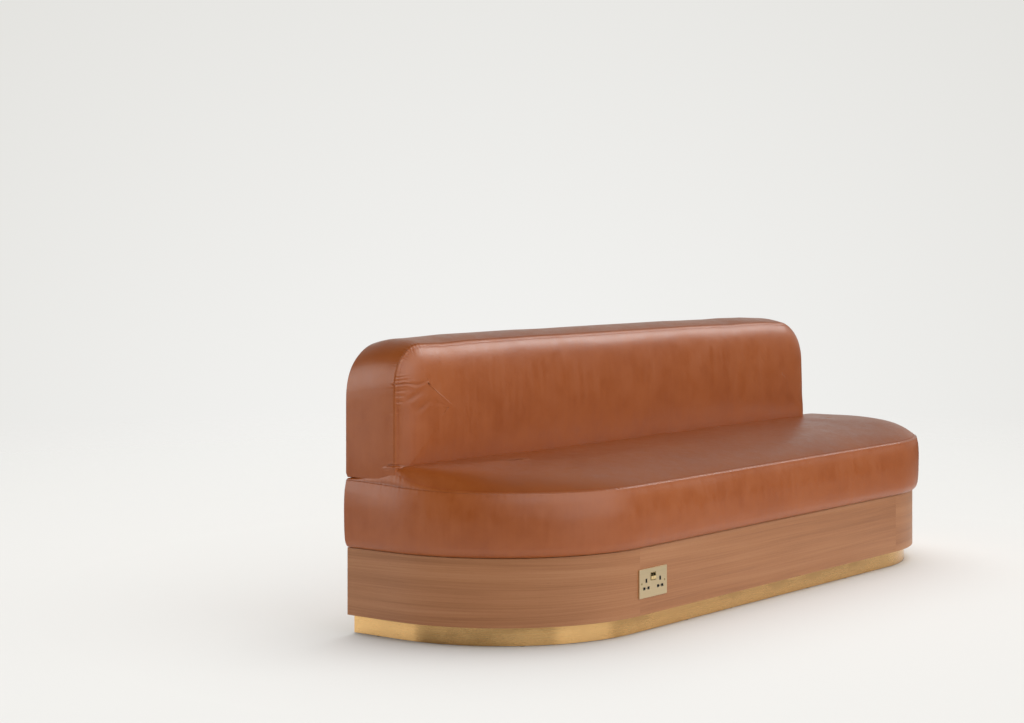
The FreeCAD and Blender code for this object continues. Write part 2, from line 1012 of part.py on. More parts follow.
def shutter_spring(x):
    """Return spring that stands on the cavity's floor and carries the shutter."""
    coil_height = spring_length - 2 * spring_wire_radius
    helix = Part.makeHelix(coil_height / spring_turns, coil_height, spring_radius)
    start = vector(spring_radius, 0, 0)
    profile = Part.Wire(Part.makeCircle(spring_wire_radius, start, INWARD))
    coil = Part.Wire(helix).makePipeShell([profile], True, True)
    depth = cavity_start + cavity_depth / 2
    coil.translate(socket_point(x, depth, shutter_bottom() - spring_length + spring_wire_radius))
    return coil


def shutter_spring_left():
    """Spring of the left shutter."""
    return shutter_spring(outlet_centres()[0])


def shutter_spring_right():
    """Spring of the right shutter."""
    return shutter_spring(outlet_centres()[1])


# Contacts behind the shutters
def contact_sizes(slot_width, slot_height):
    """Width and gap of the contact behind a slot, along and across its leaves."""
    if slot_width > slot_height:
        return (live_contact_width, live_contact_gap)
    return (earth_contact_width, earth_contact_gap)


def contact_range():
    """Depths of the contacts in the carrier."""
    return (cavity_end, cavity_end + contact_length)


def contact(x, z, slot_width, slot_height):
    """U-shaped clip open towards the pin."""
    width, gap = contact_sizes(slot_width, slot_height)
    near, distant = contact_range()
    outer = socket_block(around(x, width), (near, distant), around(z, gap + 2 * contact_leaf))
    inner_range = (near - overrun, distant - contact_leaf)
    inner = socket_block(around(x, width + 2 * overrun), inner_range, around(z, gap))
    return outer.cut(inner)


def contact_pocket(x, z, slot_width, slot_height):
    """Space of a contact in the carrier."""
    width, gap = contact_sizes(slot_width, slot_height)
    near, distant = contact_range()
    height = gap + 2 * contact_leaf + 2 * screw_clearance
    return socket_block(around(x, width + 2 * screw_clearance), (near - overrun, distant), around(z, height))


def socket_contacts():
    """Six pin contacts."""
    return together([contact(*place) for place in pin_places()])


def pole_rows():
    """Height of each pole's busbar and the places of its two contacts."""
    left, right = outlet_centres()
    arm = live_spacing / 2
    earth = (earth_height, (left, right))
    line_pole = (live_height + busbar_offset, (left + arm, right + arm))
    neutral_pole = (live_height - busbar_offset, (left - arm, right - arm))
    return (earth, line_pole, neutral_pole)


def busbar_pegs(z, places, clearance):
    """Pegs that reach from a busbar through the carrier to its contacts."""
    width = busbar_peg + 2 * clearance
    depth_range = (contact_range()[1], carrier_end)
    return [socket_block(around(x, width), depth_range, around(z, width)) for x in places]


def busbars():
    """One bar per pole, joined to its contacts."""
    bars = []
    for z, places in pole_rows():
        bar = socket_block(places, (carrier_end, carrier_end + busbar), around(z, busbar_height))
        for peg in busbar_pegs(z, places, 0):
            end = socket_block(around(peg.BoundBox.Center.x - socket_x, busbar_peg),
                               (carrier_end, carrier_end + busbar), around(z, busbar_height))
            bar = bar.fuse(peg).fuse(end)
        bars.append(bar.removeSplitter())
    return together(bars)


def terminal_blocks():
    """Wire terminals on the busbars."""
    blocks = []
    near = carrier_end + busbar
    for order, (z, places) in enumerate(pole_rows()):
        x = (places[0] + places[1]) / 2 + (order - 1) * terminal_spacing
        body = socket_block(around(x, terminal_size), (near, near + terminal_size), around(z, terminal_size))
        start = socket_point(x, near + terminal_size / 2, z - terminal_size)
        blocks.append(body.cut(rod(terminal_bore_radius, 2 * terminal_size, start, UP)))
    return together(blocks)


def contact_carrier():
    """Rear moulding that holds the contacts and closes the shutter cavities."""
    body = socket_block(around(0, moulding_width), (cavity_end, carrier_end), around(0, moulding_height))
    tools = [contact_pocket(*place) for place in pin_places()]
    for z, places in pole_rows():
        tools += busbar_pegs(z, places, screw_clearance)
    return cut_away(body, tools)


# Back box and the cable's way in
def lug(side):
    """Screw lug on an end wall of the back box."""
    wall = box_width / 2 - box_sheet
    x_range = (wall - lug_width, wall) if side > 0 else (-wall, lug_width - wall)
    return socket_block(x_range, (lug_depth, lug_depth + lug_sheet), around(0, lug_height))


def back_box():
    """Pressed steel box behind the socket, open to the front."""
    outer = socket_block(around(0, box_width), (0, box_depth), around(0, box_height))
    inner_width = around(0, box_width - 2 * box_sheet)
    inner_height = around(0, box_height - 2 * box_sheet)
    box = outer.cut(socket_block(inner_width, (-overrun, box_depth - box_sheet), inner_height))
    box = box.fuse(lug(1)).fuse(lug(-1))
    hole_radius = plate_screw_radius + screw_clearance
    tools = [rod(hole_radius, box_depth / 2, point, INWARD) for point in plate_screw_points(0)]
    tools.append(grommet_bar(grommet_bore_radius + grommet_wall, socket_point(0, 0, 0), box_depth + overrun))
    return cut_away(box, tools + box_screw_holes()).removeSplitter()


def box_screw(x, up, clearance):
    """Screw from inside the back box into the edge of the apron's cut-out."""
    side = 1 if up else -1
    start = socket_point(x, plywood / 2, side * (box_height / 2 - box_sheet - screw_head_height))
    direction = UP if up else DOWN
    head = rod(screw_head_radius + clearance, screw_head_height, start, direction)
    shank = rod(screw_radius + clearance, box_screw_length + clearance, start, direction)
    return head.fuse(shank).removeSplitter()


def box_screws(clearance):
    """Four box screws."""
    return [box_screw(x, up, clearance) for x in around(0, box_screw_spacing) for up in (True, False)]


def back_box_screws():
    """Screws that hold the back box."""
    return together(box_screws(0))


def box_screw_holes():
    """Shank holes for the box screws."""
    radius = screw_radius + screw_clearance
    holes = []
    for x in around(0, box_screw_spacing):
        start = socket_point(x, plywood / 2, 0)
        length = box_height / 2 + box_screw_length
        holes += [rod(radius, length, start, UP), rod(radius, length, start, DOWN)]
    return holes


def grommet_bar(radius, start, length):
    """Round space along the depth."""
    return rod(radius, length, start, INWARD)


def grommet(start, wall):
    """Rubber grommet in a wall that starts at a point."""
    outer = grommet_bore_radius + grommet_wall
    before = start + vector(0, -grommet_lip, 0)
    behind = start + vector(0, wall, 0)
    body = grommet_bar(outer, start, wall)
    body = body.fuse(grommet_bar(outer + grommet_flange, before, grommet_lip))
    body = body.fuse(grommet_bar(outer + grommet_flange, behind, grommet_lip))
    length = wall + 2 * (grommet_lip + overrun)
    return body.cut(grommet_bar(grommet_bore_radius, before - vector(0, overrun, 0), length)).removeSplitter()


def box_grommet():
    """Grommet in the rear wall of the back box."""
    return grommet(socket_point(0, box_depth - box_sheet, 0), box_sheet)


def cable_hole():
    """Hole in the rear panel, with a sinking for the grommet's outer flange."""
    outer = grommet_bore_radius + grommet_wall
    start = vector(socket_x, rear_y - plywood - overrun, socket_z)
    sinking = vector(socket_x, rear_y - grommet_lip, socket_z)
    wide = grommet_bar(outer + grommet_flange, sinking, grommet_lip + overrun)
    return grommet_bar(outer, start, plywood + 2 * overrun).fuse(wide)


def cable_grommet():
    """Grommet in the rear panel, where the mains cable comes in."""
    start = vector(socket_x, rear_y - plywood, socket_z)
    return grommet(start, plywood - grommet_lip)


NODES = (
    kick_plate, plinth_front_rail, plinth_left_corner, plinth_right_corner, plinth_rear_rail,
    plinth_cross_rails, glides, deck, deck_screws, left_apron, front_apron, right_apron,
    left_veneer, front_veneer, right_veneer, rear_panel, cross_ribs, seat_board, seat_board_screws,
    seat_pad_board, seat_cushion, pad_screws, back_cushion, outside_back_panel, back_front_board,
    back_top_rail, back_corner_blocks, back_end_stiles, back_bottom_rails, back_legs, leg_bolts,
    socket_faceplate, faceplate_screws, outlet_moulding_left, switch_moulding,
    outlet_moulding_right, rocker_left, rocker_right, axle_bar, shutter_left, shutter_right,
    shutter_spring_left, shutter_spring_right, socket_contacts,
    contact_carrier, busbars, terminal_blocks, back_box, back_box_screws, box_grommet, cable_grommet,
)


def main():
    """Write one file per piece."""
    os.makedirs("parts", exist_ok=True)
    for maker in NODES:
        shape = maker()
        name = maker.__name__
        print(name, len(shape.Solids), shape.isValid(), round(shape.Volume))
        shape.exportStep(os.path.join("parts", name + ".step"))


main()
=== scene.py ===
"""Looks of the upholstered banquette bench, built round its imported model.

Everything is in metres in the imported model's own frame: +Z is up, +X runs along the bench,
the front faces -Y and the floor is at z = 0.
"""

import json
import logging
import math
from abc import ABC, abstractmethod
from dataclasses import dataclass, field
from enum import Enum
from typing import Sequence, Union

import bpy
import numpy as np
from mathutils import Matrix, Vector

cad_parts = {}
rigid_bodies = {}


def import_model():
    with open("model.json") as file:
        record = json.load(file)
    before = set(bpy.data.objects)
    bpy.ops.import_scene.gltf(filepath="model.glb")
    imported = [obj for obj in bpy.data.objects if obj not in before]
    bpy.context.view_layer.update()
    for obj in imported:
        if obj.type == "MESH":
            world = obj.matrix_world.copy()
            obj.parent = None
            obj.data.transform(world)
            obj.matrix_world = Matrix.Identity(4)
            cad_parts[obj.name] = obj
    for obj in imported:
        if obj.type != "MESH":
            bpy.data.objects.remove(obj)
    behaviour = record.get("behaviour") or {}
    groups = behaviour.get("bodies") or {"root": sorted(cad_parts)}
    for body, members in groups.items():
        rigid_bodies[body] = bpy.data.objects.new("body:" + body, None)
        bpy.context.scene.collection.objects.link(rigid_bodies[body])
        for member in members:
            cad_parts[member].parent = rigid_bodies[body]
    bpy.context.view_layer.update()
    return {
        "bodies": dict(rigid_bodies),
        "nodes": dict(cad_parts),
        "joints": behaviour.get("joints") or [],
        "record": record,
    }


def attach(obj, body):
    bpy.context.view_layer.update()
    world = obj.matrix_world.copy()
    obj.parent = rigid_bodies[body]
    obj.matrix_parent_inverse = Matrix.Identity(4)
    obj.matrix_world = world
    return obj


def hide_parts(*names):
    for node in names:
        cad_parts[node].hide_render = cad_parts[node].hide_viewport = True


LOG = logging.getLogger("bench")
Pair = tuple[float, float]
Triple = tuple[float, float, float]
Colour = Triple
Socket = bpy.types.NodeSocket
Value = Union[float, Socket]

FULL_TURN = 2.0 * math.pi
TINY = 1e-12
SQUARE = ((-1, -1), (1, -1), (1, 1), (-1, 1))
REAR_Y = 0.361
FRONT_Y = -0.341
HALF_LENGTH = 1.325
CORNER_RADIUS = 0.520
CORNER_X = HALF_LENGTH - CORNER_RADIUS
CORNER_Y = FRONT_Y + CORNER_RADIUS
BASE_TOP = 0.260


class Leaf(Enum):
    """Which stretch of the veneered base a leaf covers."""

    LEFT = -1
    FRONT = 0
    RIGHT = 1


# Node trees
@dataclass(frozen=True)
class Cloud:
    """One layer of cloudy noise.

    Its scale is in lumps per metre, all round or axis by axis; detail is the number of finer
    layers, and rough their weight.
    """

    scale: Union[float, Triple]
    detail: float = 2.0
    rough: float = 0.5


def scaled(colour: Colour, share: float) -> Colour:
    """Colour made darker or lighter."""
    return tuple(c * share for c in colour)


class Graph:
    """Node tree of one material or of the world, built a node at a time."""

    def __init__(self, name: str, world: Union[bpy.types.World, None] = None) -> None:
        """Starts a material with a principled shader, or a world.

        Args:
            name: Name of the material.
            world: World to build in, where it isn't a material.
        """
        self.material = world or bpy.data.materials.new(name)
        self.material.use_nodes = True
        self.nodes = self.material.node_tree.nodes
        self.links = self.material.node_tree.links
        self.nodes.clear()
        if world:
            self.output = self.nodes.new("ShaderNodeOutputWorld")
            return
        self.output = self.nodes.new("ShaderNodeOutputMaterial")
        self.shader = self.nodes.new("ShaderNodeBsdfPrincipled")
        self.links.new(self.shader.outputs["BSDF"], self.output.inputs["Surface"])

    def feed(self, node: bpy.types.Node, place: Union[str, int], value: object) -> None:
        """Gives a node's input a fixed value or a link.

        Args:
            node: Node that takes the value.
            place: Name or number of its input.
            value: Number, colour, vector or another node's output.
        """
        if isinstance(value, Socket):
            self.links.new(value, node.inputs[place])
        elif isinstance(value, tuple) and len(value) == 3 and node.inputs[place].type == "RGBA":
            node.inputs[place].default_value = (*value, 1.0)
        else:
            node.inputs[place].default_value = value

    def node(self, kind: str, inputs: dict[Union[str, int], object], **settings: object) -> bpy.types.Node:
        """New node with its settings made and its inputs fed.

        Args:
            kind: Blender's name for the kind of node.
            inputs: Values or links, by the input's name or number.
            settings: Properties of the node.

        Returns:
            The node.
        """
        made = self.nodes.new(kind)
        for name, value in settings.items():
            setattr(made, name, value)
        for place, value in inputs.items():
            self.feed(made, place, value)
        return made

    def set(self, **values: object) -> None:
        """Sets shader inputs, with underscores for spaces in their names."""
        for name, value in values.items():
            self.feed(self.shader, name.replace("_", " "), value)

    def position(self) -> Socket:
        """Place on the bench, in metres."""
        return self.node("ShaderNodeTexCoord", {}).outputs["Object"]

    def parts(self, vector: Socket) -> list[Socket]:
        """The three numbers of a vector."""
        return list(self.node("ShaderNodeSeparateXYZ", {0: vector}).outputs)

    def vector(self, x: Value, y: Value, z: Value) -> Socket:
        """Vector from three numbers."""
        return self.node("ShaderNodeCombineXYZ", {0: x, 1: y, 2: z}).outputs[0]

    def stretch(self, vector: Socket, shares: Triple) -> Socket:
        """Vector multiplied axis by axis."""
        return self.node("ShaderNodeVectorMath", {0: vector, 1: shares}, operation="MULTIPLY").outputs[0]

    def measure(self, kind: str, vector: Socket, other: Triple = (0.0, 0.0, 0.0)) -> Socket:
        """Number got from a vector: its LENGTH, or its DOT_PRODUCT with another."""
        return self.node("ShaderNodeVectorMath", {0: vector, 1: other}, operation=kind).outputs["Value"]

    def maths(self, kind: str, first: Value, second: Value = 0.0) -> Socket:
        """Result of one arithmetic step."""
        return self.node("ShaderNodeMath", {0: first, 1: second}, operation=kind).outputs[0]

    def weighted(self, values: Sequence[Socket], weights: Sequence[float]) -> Socket:
        """Sum of some values, each times its weight.

        Args:
            values: The values.
            weights: One weight for each.

        Returns:
            The sum.
        """
        total, *rest = [self.maths("MULTIPLY", value, weight) for value, weight in zip(values, weights)]
        for term in rest:
            total = self.maths("ADD", total, term)
        return total

    def noise(self, vector: Socket, layer: Cloud) -> Socket:
        """Cloudy noise.

        Args:
            vector: Place to read it at.
            layer: Its scale and detail.

        Returns:
            Output from 0 to 1.
        """
        scale = layer.scale
        if isinstance(scale, tuple):
            vector, scale = self.stretch(vector, scale), 1.0
        inputs = {"Vector": vector, "Scale": scale, "Detail": layer.detail, "Roughness": layer.rough}
        return self.node("ShaderNodeTexNoise", inputs).outputs["Fac"]

    def cells(self, vector: Socket, scale: float) -> Socket:
        """Distance to the nearest of scattered points."""
        return self.node("ShaderNodeTexVoronoi", {"Vector": vector, "Scale": scale}).outputs["Distance"]

    def span(self, value: Socket, bounds: Pair, result: Pair = (0.0, 1.0)) -> Socket:
        """Value moved from one range to another and kept inside it."""
        inputs = dict(enumerate((value, *bounds, *result)))
        return self.node("ShaderNodeMapRange", inputs, clamp=True).outputs[0]

    def gloss(self, value: Socket, bounds: Pair, roughness: float, spread: Pair) -> Socket:
        """Roughness that varies by a spread below and above its usual value."""
        return self.span(value, bounds, (roughness + spread[0], roughness + spread[1]))

    def blend(self, share: Value, first: object, second: object) -> Socket:
        """Mix of two colours, by the share of the second."""
        return self.node("ShaderNodeMix", {0: share, 6: first, 7: second}, data_type="RGBA").outputs[2]

    def shaded(self, tone: Socket, levels: Triple, shades: tuple[Colour, Colour, Colour]) -> Socket:
        """Colour that goes through three shades as a tone rises through three levels."""
        lower = self.blend(self.span(tone, levels[:2]), *shades[:2])
        return self.blend(self.span(tone, levels[1:]), lower, shades[2])

    def painted(self, name: str) -> Socket:
        """Value stored in the mesh under a name."""
        return self.node("ShaderNodeAttribute", {}, attribute_name=name).outputs["Fac"]

    def soft_edges(self, radius: float) -> Socket:
        """Normal that rounds sharp edges by a radius."""
        return self.node("ShaderNodeBevel", {"Radius": radius}, samples=6).outputs["Normal"]

    def relief(self, *layers: tuple[Socket, float], start: Union[Socket, None] = None) -> Socket:
        """Normal tipped by one height after another.

        Args:
            layers: Heights from 0 to 1, each with the real height of 1, in metres.
            start: Normal to start from, where it isn't the surface's own.

        Returns:
            New normal.
        """
        normal = start
        for height, distance in layers:
            inputs = {"Distance": distance, "Height": height}
            if normal is not None:
                inputs["Normal"] = normal
            normal = self.node("ShaderNodeBump", inputs).outputs["Normal"]
        return normal

    def lobe(self, kind: str, **inputs: object) -> Socket:
        """Plain shader with some of its inputs set."""
        return self.node(kind, inputs).outputs[0]

    def either(self, share: Value, first: Socket, second: Socket) -> Socket:
        """Mix of two shaders, by the share of the second."""
        return self.node("ShaderNodeMixShader", {0: share, 1: first, 2: second}).outputs[0]


# Finishes
@dataclass(frozen=True)
class LeatherFinish:
    """Smooth semi-gloss upholstery leather with fine grain and faint vertical streaks."""

    name: str = "tan_leather"
    colour: Colour = (0.365, 0.088, 0.0125)
    dark: Colour = (0.315, 0.070, 0.0090)
    light: Colour = (0.405, 0.106, 0.0180)
    # Colour for the darker seams and for the painted shade in gathers, folds and tuck.
    fold_shade_and_seam_colour: Colour = (0.110, 0.019, 0.003)
    cloud: Cloud = Cloud(3.2, 4.0, 0.55)
    blotch: Cloud = Cloud(17.0, 4.0, 0.6)
    streak: Cloud = Cloud((62.0, 62.0, 5.0), 4.0, 0.62)
    fleck: Cloud = Cloud(520.0, 2.0, 0.6)
    tone_weights: tuple[float, ...] = (0.42, 0.30, 0.18, 0.10)
    tone_levels: Triple = (0.34, 0.50, 0.68)
    crease_share: float = 0.85
    rub_levels: Pair = (0.35, 0.65)
    rub_shares: Pair = (0.2, 0.5)
    hollows: Cloud = Cloud(9.0)
    dimples: Cloud = Cloud((30.0, 30.0, 9.0))
    pebbles: float = 780.0
    skin: Cloud = Cloud(1500.0)
    depths: tuple[float, ...] = (0.0010, 0.0004, 0.00010, 0.00003)
    roughness: float = 0.36
    gloss_levels: Pair = (0.7, 1.3)
    gloss_spread: Pair = (-0.05, 0.07)
    specular: float = 0.75

    def material(self) -> bpy.types.Material:
        """Builds the leather's node material.

        Returns:
            The material.
        """
        graph = Graph(self.name)
        place = graph.position()
        cloud, blotch, streak, fleck, hollows, dimples, skin = (graph.noise(place, layer) for layer in (
            self.cloud, self.blotch, self.streak, self.fleck, self.hollows, self.dimples, self.skin))
        tone = graph.weighted((cloud, blotch, streak, fleck), self.tone_weights)
        colour = graph.shaded(tone, self.tone_levels, (self.dark, self.colour, self.light))
        # Darker along the seams, plus painted shade in the gathers, folds and tuck, from values stored in the
        # mesh.
        crease = graph.maths("MULTIPLY", graph.painted("crease"), self.crease_share)
        colour = graph.blend(crease, colour, self.fold_shade_and_seam_colour)
        worn = graph.span(blotch, self.rub_levels, self.rub_shares)
        rub = graph.maths("MULTIPLY", graph.painted("rub"), worn)
        colour = graph.blend(rub, colour, self.light)
        relief = graph.relief(*zip((hollows, dimples, graph.cells(place, self.pebbles), skin), self.depths))
        both = graph.maths("ADD", blotch, streak)
        gloss = graph.gloss(both, self.gloss_levels, self.roughness, self.gloss_spread)
        graph.set(Base_Color=colour, Roughness=gloss, Normal=relief, Specular_IOR_Level=self.specular)
        return graph.material


@dataclass(frozen=True)
class ThreadFinish:
    """Stitching thread a little redder and darker than the leather."""

    name: str = "seam_thread"
    colour: Colour = (0.30, 0.055, 0.016)
    twist_crest_highlight: float = 1.5
    twist: Cloud = Cloud(1400.0)
    twist_levels: Pair = (0.35, 0.65)
    twist_depth: float = 0.0001
    roughness: float = 0.55

    def material(self) -> bpy.types.Material:
        """Builds the thread's node material.

        Returns:
            The material.
        """
        graph = Graph(self.name)
        twist = graph.noise(graph.position(), self.twist)
        # Painted highlight: the thread is lighter where its twist stands highest.
        colour = graph.blend(graph.span(twist, self.twist_levels), self.colour, scaled(self.colour, self.twist_crest_highlight))
        relief = graph.relief((twist, self.twist_depth))
        graph.set(Base_Color=colour, Roughness=self.roughness, Normal=relief)
        return graph.material


@dataclass(frozen=True)
class VeneerFinish:
    """Satin walnut-coloured veneer whose grain runs along the base and round its bends."""

    leaf: Leaf
    colour: Colour = (0.403, 0.172, 0.072)
    dark: Colour = (0.277, 0.105, 0.040)
    light: Colour = (0.475, 0.227, 0.105)
    leaf_shift: float = 3.7
    wander: Cloud = Cloud((0.9, 1.0, 3.0), 1.0, 0.4)
    wander_height: float = 0.045
    bands: Cloud = Cloud((0.45, 1.0, 30.0), 3.0)
    lines: Cloud = Cloud((2.2, 1.0, 230.0), 4.0, 0.62)
    pores: Cloud = Cloud((40.0, 1.0, 1500.0), 2.0, 0.6)
    blush: Cloud = Cloud((1.6, 1.0, 5.0))
    tone_weights: Triple = (0.48, 0.36, 0.16)
    tone_levels: Triple = (0.34, 0.50, 0.66)
    pore_levels: Pair = (0.58, 0.74)
    pore_shares: Pair = (0.0, 0.34)
    pore_dark: float = 0.55
    edge: float = 0.0006
    line_depth: float = 0.00012
    pore_depth: float = 0.00008
    roughness: float = 0.44
    gloss_levels: Pair = (0.35, 0.65)
    gloss_spread: Pair = (-0.05, 0.06)
    specular: float = 0.4

    def unrolled(self, graph: Graph) -> tuple[Socket, Socket]:
        """Place along the face of the leaf, as if it lay flat.

        Args:
            graph: Tree to build in.

        Returns:
            Distance along the base, and height.
        """
        x, y, z = graph.parts(graph.position())
        if self.leaf is Leaf.FRONT:
            return x, z
        side = float(self.leaf.value)
        across = graph.maths("SUBTRACT", graph.maths("MULTIPLY", x, side), CORNER_X)
        ahead = graph.maths("SUBTRACT", CORNER_Y, y)
        turn = graph.maths("ARCTAN2", across, ahead)
        along = graph.maths("ADD", graph.maths("MULTIPLY", turn, CORNER_RADIUS), CORNER_X)
        return graph.maths("MULTIPLY", along, side), z

    def material(self) -> bpy.types.Material:
        """Builds the leaf's node material.

        Returns:
            The material.
        """
        graph = Graph(f"veneer_{self.leaf.name.lower()}")
        along, up = self.unrolled(graph)
        along = graph.maths("ADD", along, self.leaf_shift * self.leaf.value)
        flat = graph.vector(along, 0.0, up)
        wander = graph.maths("MULTIPLY", graph.noise(flat, self.wander), self.wander_height)
        bent = graph.vector(along, 0.0, graph.maths("ADD", up, wander))
        bands, lines, pores = (graph.noise(bent, layer) for layer in (self.bands, self.lines, self.pores))
        tone = graph.weighted((bands, lines, graph.noise(flat, self.blush)), self.tone_weights)
        colour = graph.shaded(tone, self.tone_levels, (self.dark, self.colour, self.light))
        pore = graph.span(pores, self.pore_levels, self.pore_shares)
        colour = graph.blend(pore, colour, scaled(self.dark, self.pore_dark))
        dips, edges = graph.maths("SUBTRACT", 1.0, pore), graph.soft_edges(self.edge)
        relief = graph.relief((lines, self.line_depth), (dips, self.pore_depth), start=edges)
        gloss = graph.gloss(lines, self.gloss_levels, self.roughness, self.gloss_spread)
        graph.set(Base_Color=colour, Roughness=gloss, Normal=relief, Specular_IOR_Level=self.specular)
        return graph.material


@dataclass(frozen=True)
class MetalFinish:
    """Metal with a brushed, rolled or polished skin."""

    name: str
    colour: Colour
    dull: Colour
    roughness: float
    brush: Triple = (4.0, 4.0, 900.0)
    brush_depth: float = 0.00002
    stain: float = 0.35
    edge: float = 0.0005
    rolled: float = 0.0
    ripple: float = 0.0
    stains: Cloud = Cloud((5.0, 5.0, 9.0), 5.0, 0.62)
    stain_levels: Pair = (0.42, 0.72)
    spots: Cloud = Cloud(70.0, 4.0, 0.7)
    spot_levels: Pair = (0.66, 0.80)
    spot_shares: Pair = (0.0, 0.22)
    brush_detail: Pair = (3.0, 0.65)
    brush_levels: Pair = (0.3, 0.7)
    brush_shares: Pair = (0.0, 0.16)
    brush_dark: float = 0.8
    brush_gloss: Pair = (-0.03, 0.05)
    stain_gloss: float = 0.18
    waves: Cloud = Cloud((9.0, 9.0, 3.0))

    def material(self) -> bpy.types.Material:
        """Builds the metal's node material.

        Returns:
            The material.
        """
        graph = Graph(self.name)
        place = graph.position()
        brushed = graph.noise(place, Cloud(self.brush, *self.brush_detail))
        stains = graph.span(graph.noise(place, self.stains), self.stain_levels)
        spots = graph.span(graph.noise(place, self.spots), self.spot_levels, self.spot_shares)
        share = graph.maths("ADD", graph.maths("MULTIPLY", stains, self.stain), spots)
        colour = graph.blend(share, self.colour, self.dull)
        strokes = graph.span(brushed, self.brush_levels, self.brush_shares)
        colour = graph.blend(strokes, colour, scaled(self.colour, self.brush_dark))
        gloss = graph.maths("ADD", graph.span(brushed, self.brush_levels, self.brush_gloss), self.roughness)
        gloss = graph.maths("ADD", gloss, graph.maths("MULTIPLY", share, self.stain_gloss))
        relief = graph.soft_edges(self.edge)
        if self.ripple > 0.0:
            relief = graph.relief((graph.noise(place, self.waves), self.ripple), start=relief)
        relief = graph.relief((brushed, self.brush_depth), start=relief)
        graph.set(Base_Color=colour, Metallic=1.0, Roughness=gloss, Normal=relief)
        if self.rolled > 0.0:
            graph.set(Anisotropic=self.rolled, Tangent=graph.vector(0.0, 0.0, 1.0))
        return graph.material


@dataclass(frozen=True)
class MouldedFinish:
    """Moulded plastic or rubber with a fine spark-eroded texture."""

    name: str
    colour: Colour
    roughness: float
    grain_depth: float = 0.00003
    grain: Cloud = Cloud(2600.0)
    dust: Cloud = Cloud(60.0, 4.0, 0.65)
    dust_levels: Pair = (0.5, 0.8)
    dust_shares: Pair = (0.0, 0.25)
    dust_lift: float = 0.06
    gloss_levels: Pair = (0.3, 0.7)
    gloss_spread: Pair = (-0.06, 0.08)
    edge: float = 0.0003

    def material(self) -> bpy.types.Material:
        """Builds the moulded finish's node material.

        Returns:
            The material.
        """
        graph = Graph(self.name)
        place = graph.position()
        dust = graph.noise(place, self.dust)
        dusty = tuple(c + self.dust_lift for c in self.colour)
        colour = graph.blend(graph.span(dust, self.dust_levels, self.dust_shares), self.colour, dusty)
        gloss = graph.gloss(dust, self.gloss_levels, self.roughness, self.gloss_spread)
        grain = graph.noise(place, self.grain)
        relief = graph.relief((grain, self.grain_depth), start=graph.soft_edges(self.edge))
        graph.set(Base_Color=colour, Roughness=gloss, Normal=relief)
        return graph.material


@dataclass(frozen=True)
class BoardFinish:
    """Bare plywood or planed timber, grain along the bench and plies seen on edges."""

    name: str
    colour: Colour
    dark: Colour
    grain: Triple
    plies: float = 0.0
    wander: Cloud = Cloud((1.5, 4.0, 4.0))
    wander_width: float = 0.05
    ring_detail: Pair = (4.0, 0.6)
    ring_levels: Pair = (0.38, 0.66)
    ring_depth: float = 0.0002
    edge_facing: Pair = (0.8, 0.95)
    glue_levels: Pair = (0.2, 0.3)
    glue_dark: float = 0.55
    edge: float = 0.0008
    gloss_levels: Pair = (0.3, 0.7)
    roughness: Pair = (0.62, 0.78)

    def ply_edges(self, graph: Graph, y: Socket, z: Socket) -> Socket:
        """Share of dark glue line, on faces that look along the bench.

        Args:
            graph: Tree to build in.
            y: Place across the bench.
            z: Height.

        Returns:
            Share from 0 to 1.
        """
        layer = graph.maths("MULTIPLY", graph.maths("ADD", z, y), self.plies)
        layer = graph.maths("PINGPONG", layer, 0.5)
        facing = graph.parts(graph.node("ShaderNodeNewGeometry", {}).outputs["Normal"])[0]
        end_on = graph.span(graph.maths("ABSOLUTE", facing), self.edge_facing)
        return graph.maths("MULTIPLY", end_on, graph.span(layer, self.glue_levels))

    def material(self) -> bpy.types.Material:
        """Builds the board's node material.

        Returns:
            The material.
        """
        graph = Graph(self.name)
        place = graph.position()
        x, y, z = graph.parts(place)
        drift = graph.maths("MULTIPLY", graph.noise(place, self.wander), self.wander_width)
        bent = graph.vector(x, graph.maths("ADD", y, drift), graph.maths("ADD", z, drift))
        rings = graph.noise(bent, Cloud(self.grain, *self.ring_detail))
        colour = graph.blend(graph.span(rings, self.ring_levels), self.colour, self.dark)
        if self.plies > 0.0:
            colour = graph.blend(self.ply_edges(graph, y, z), colour, scaled(self.dark, self.glue_dark))
        relief = graph.relief((rings, self.ring_depth), start=graph.soft_edges(self.edge))
        gloss = graph.span(rings, self.gloss_levels, self.roughness)
        graph.set(Base_Color=colour, Roughness=gloss, Normal=relief)
        return graph.material


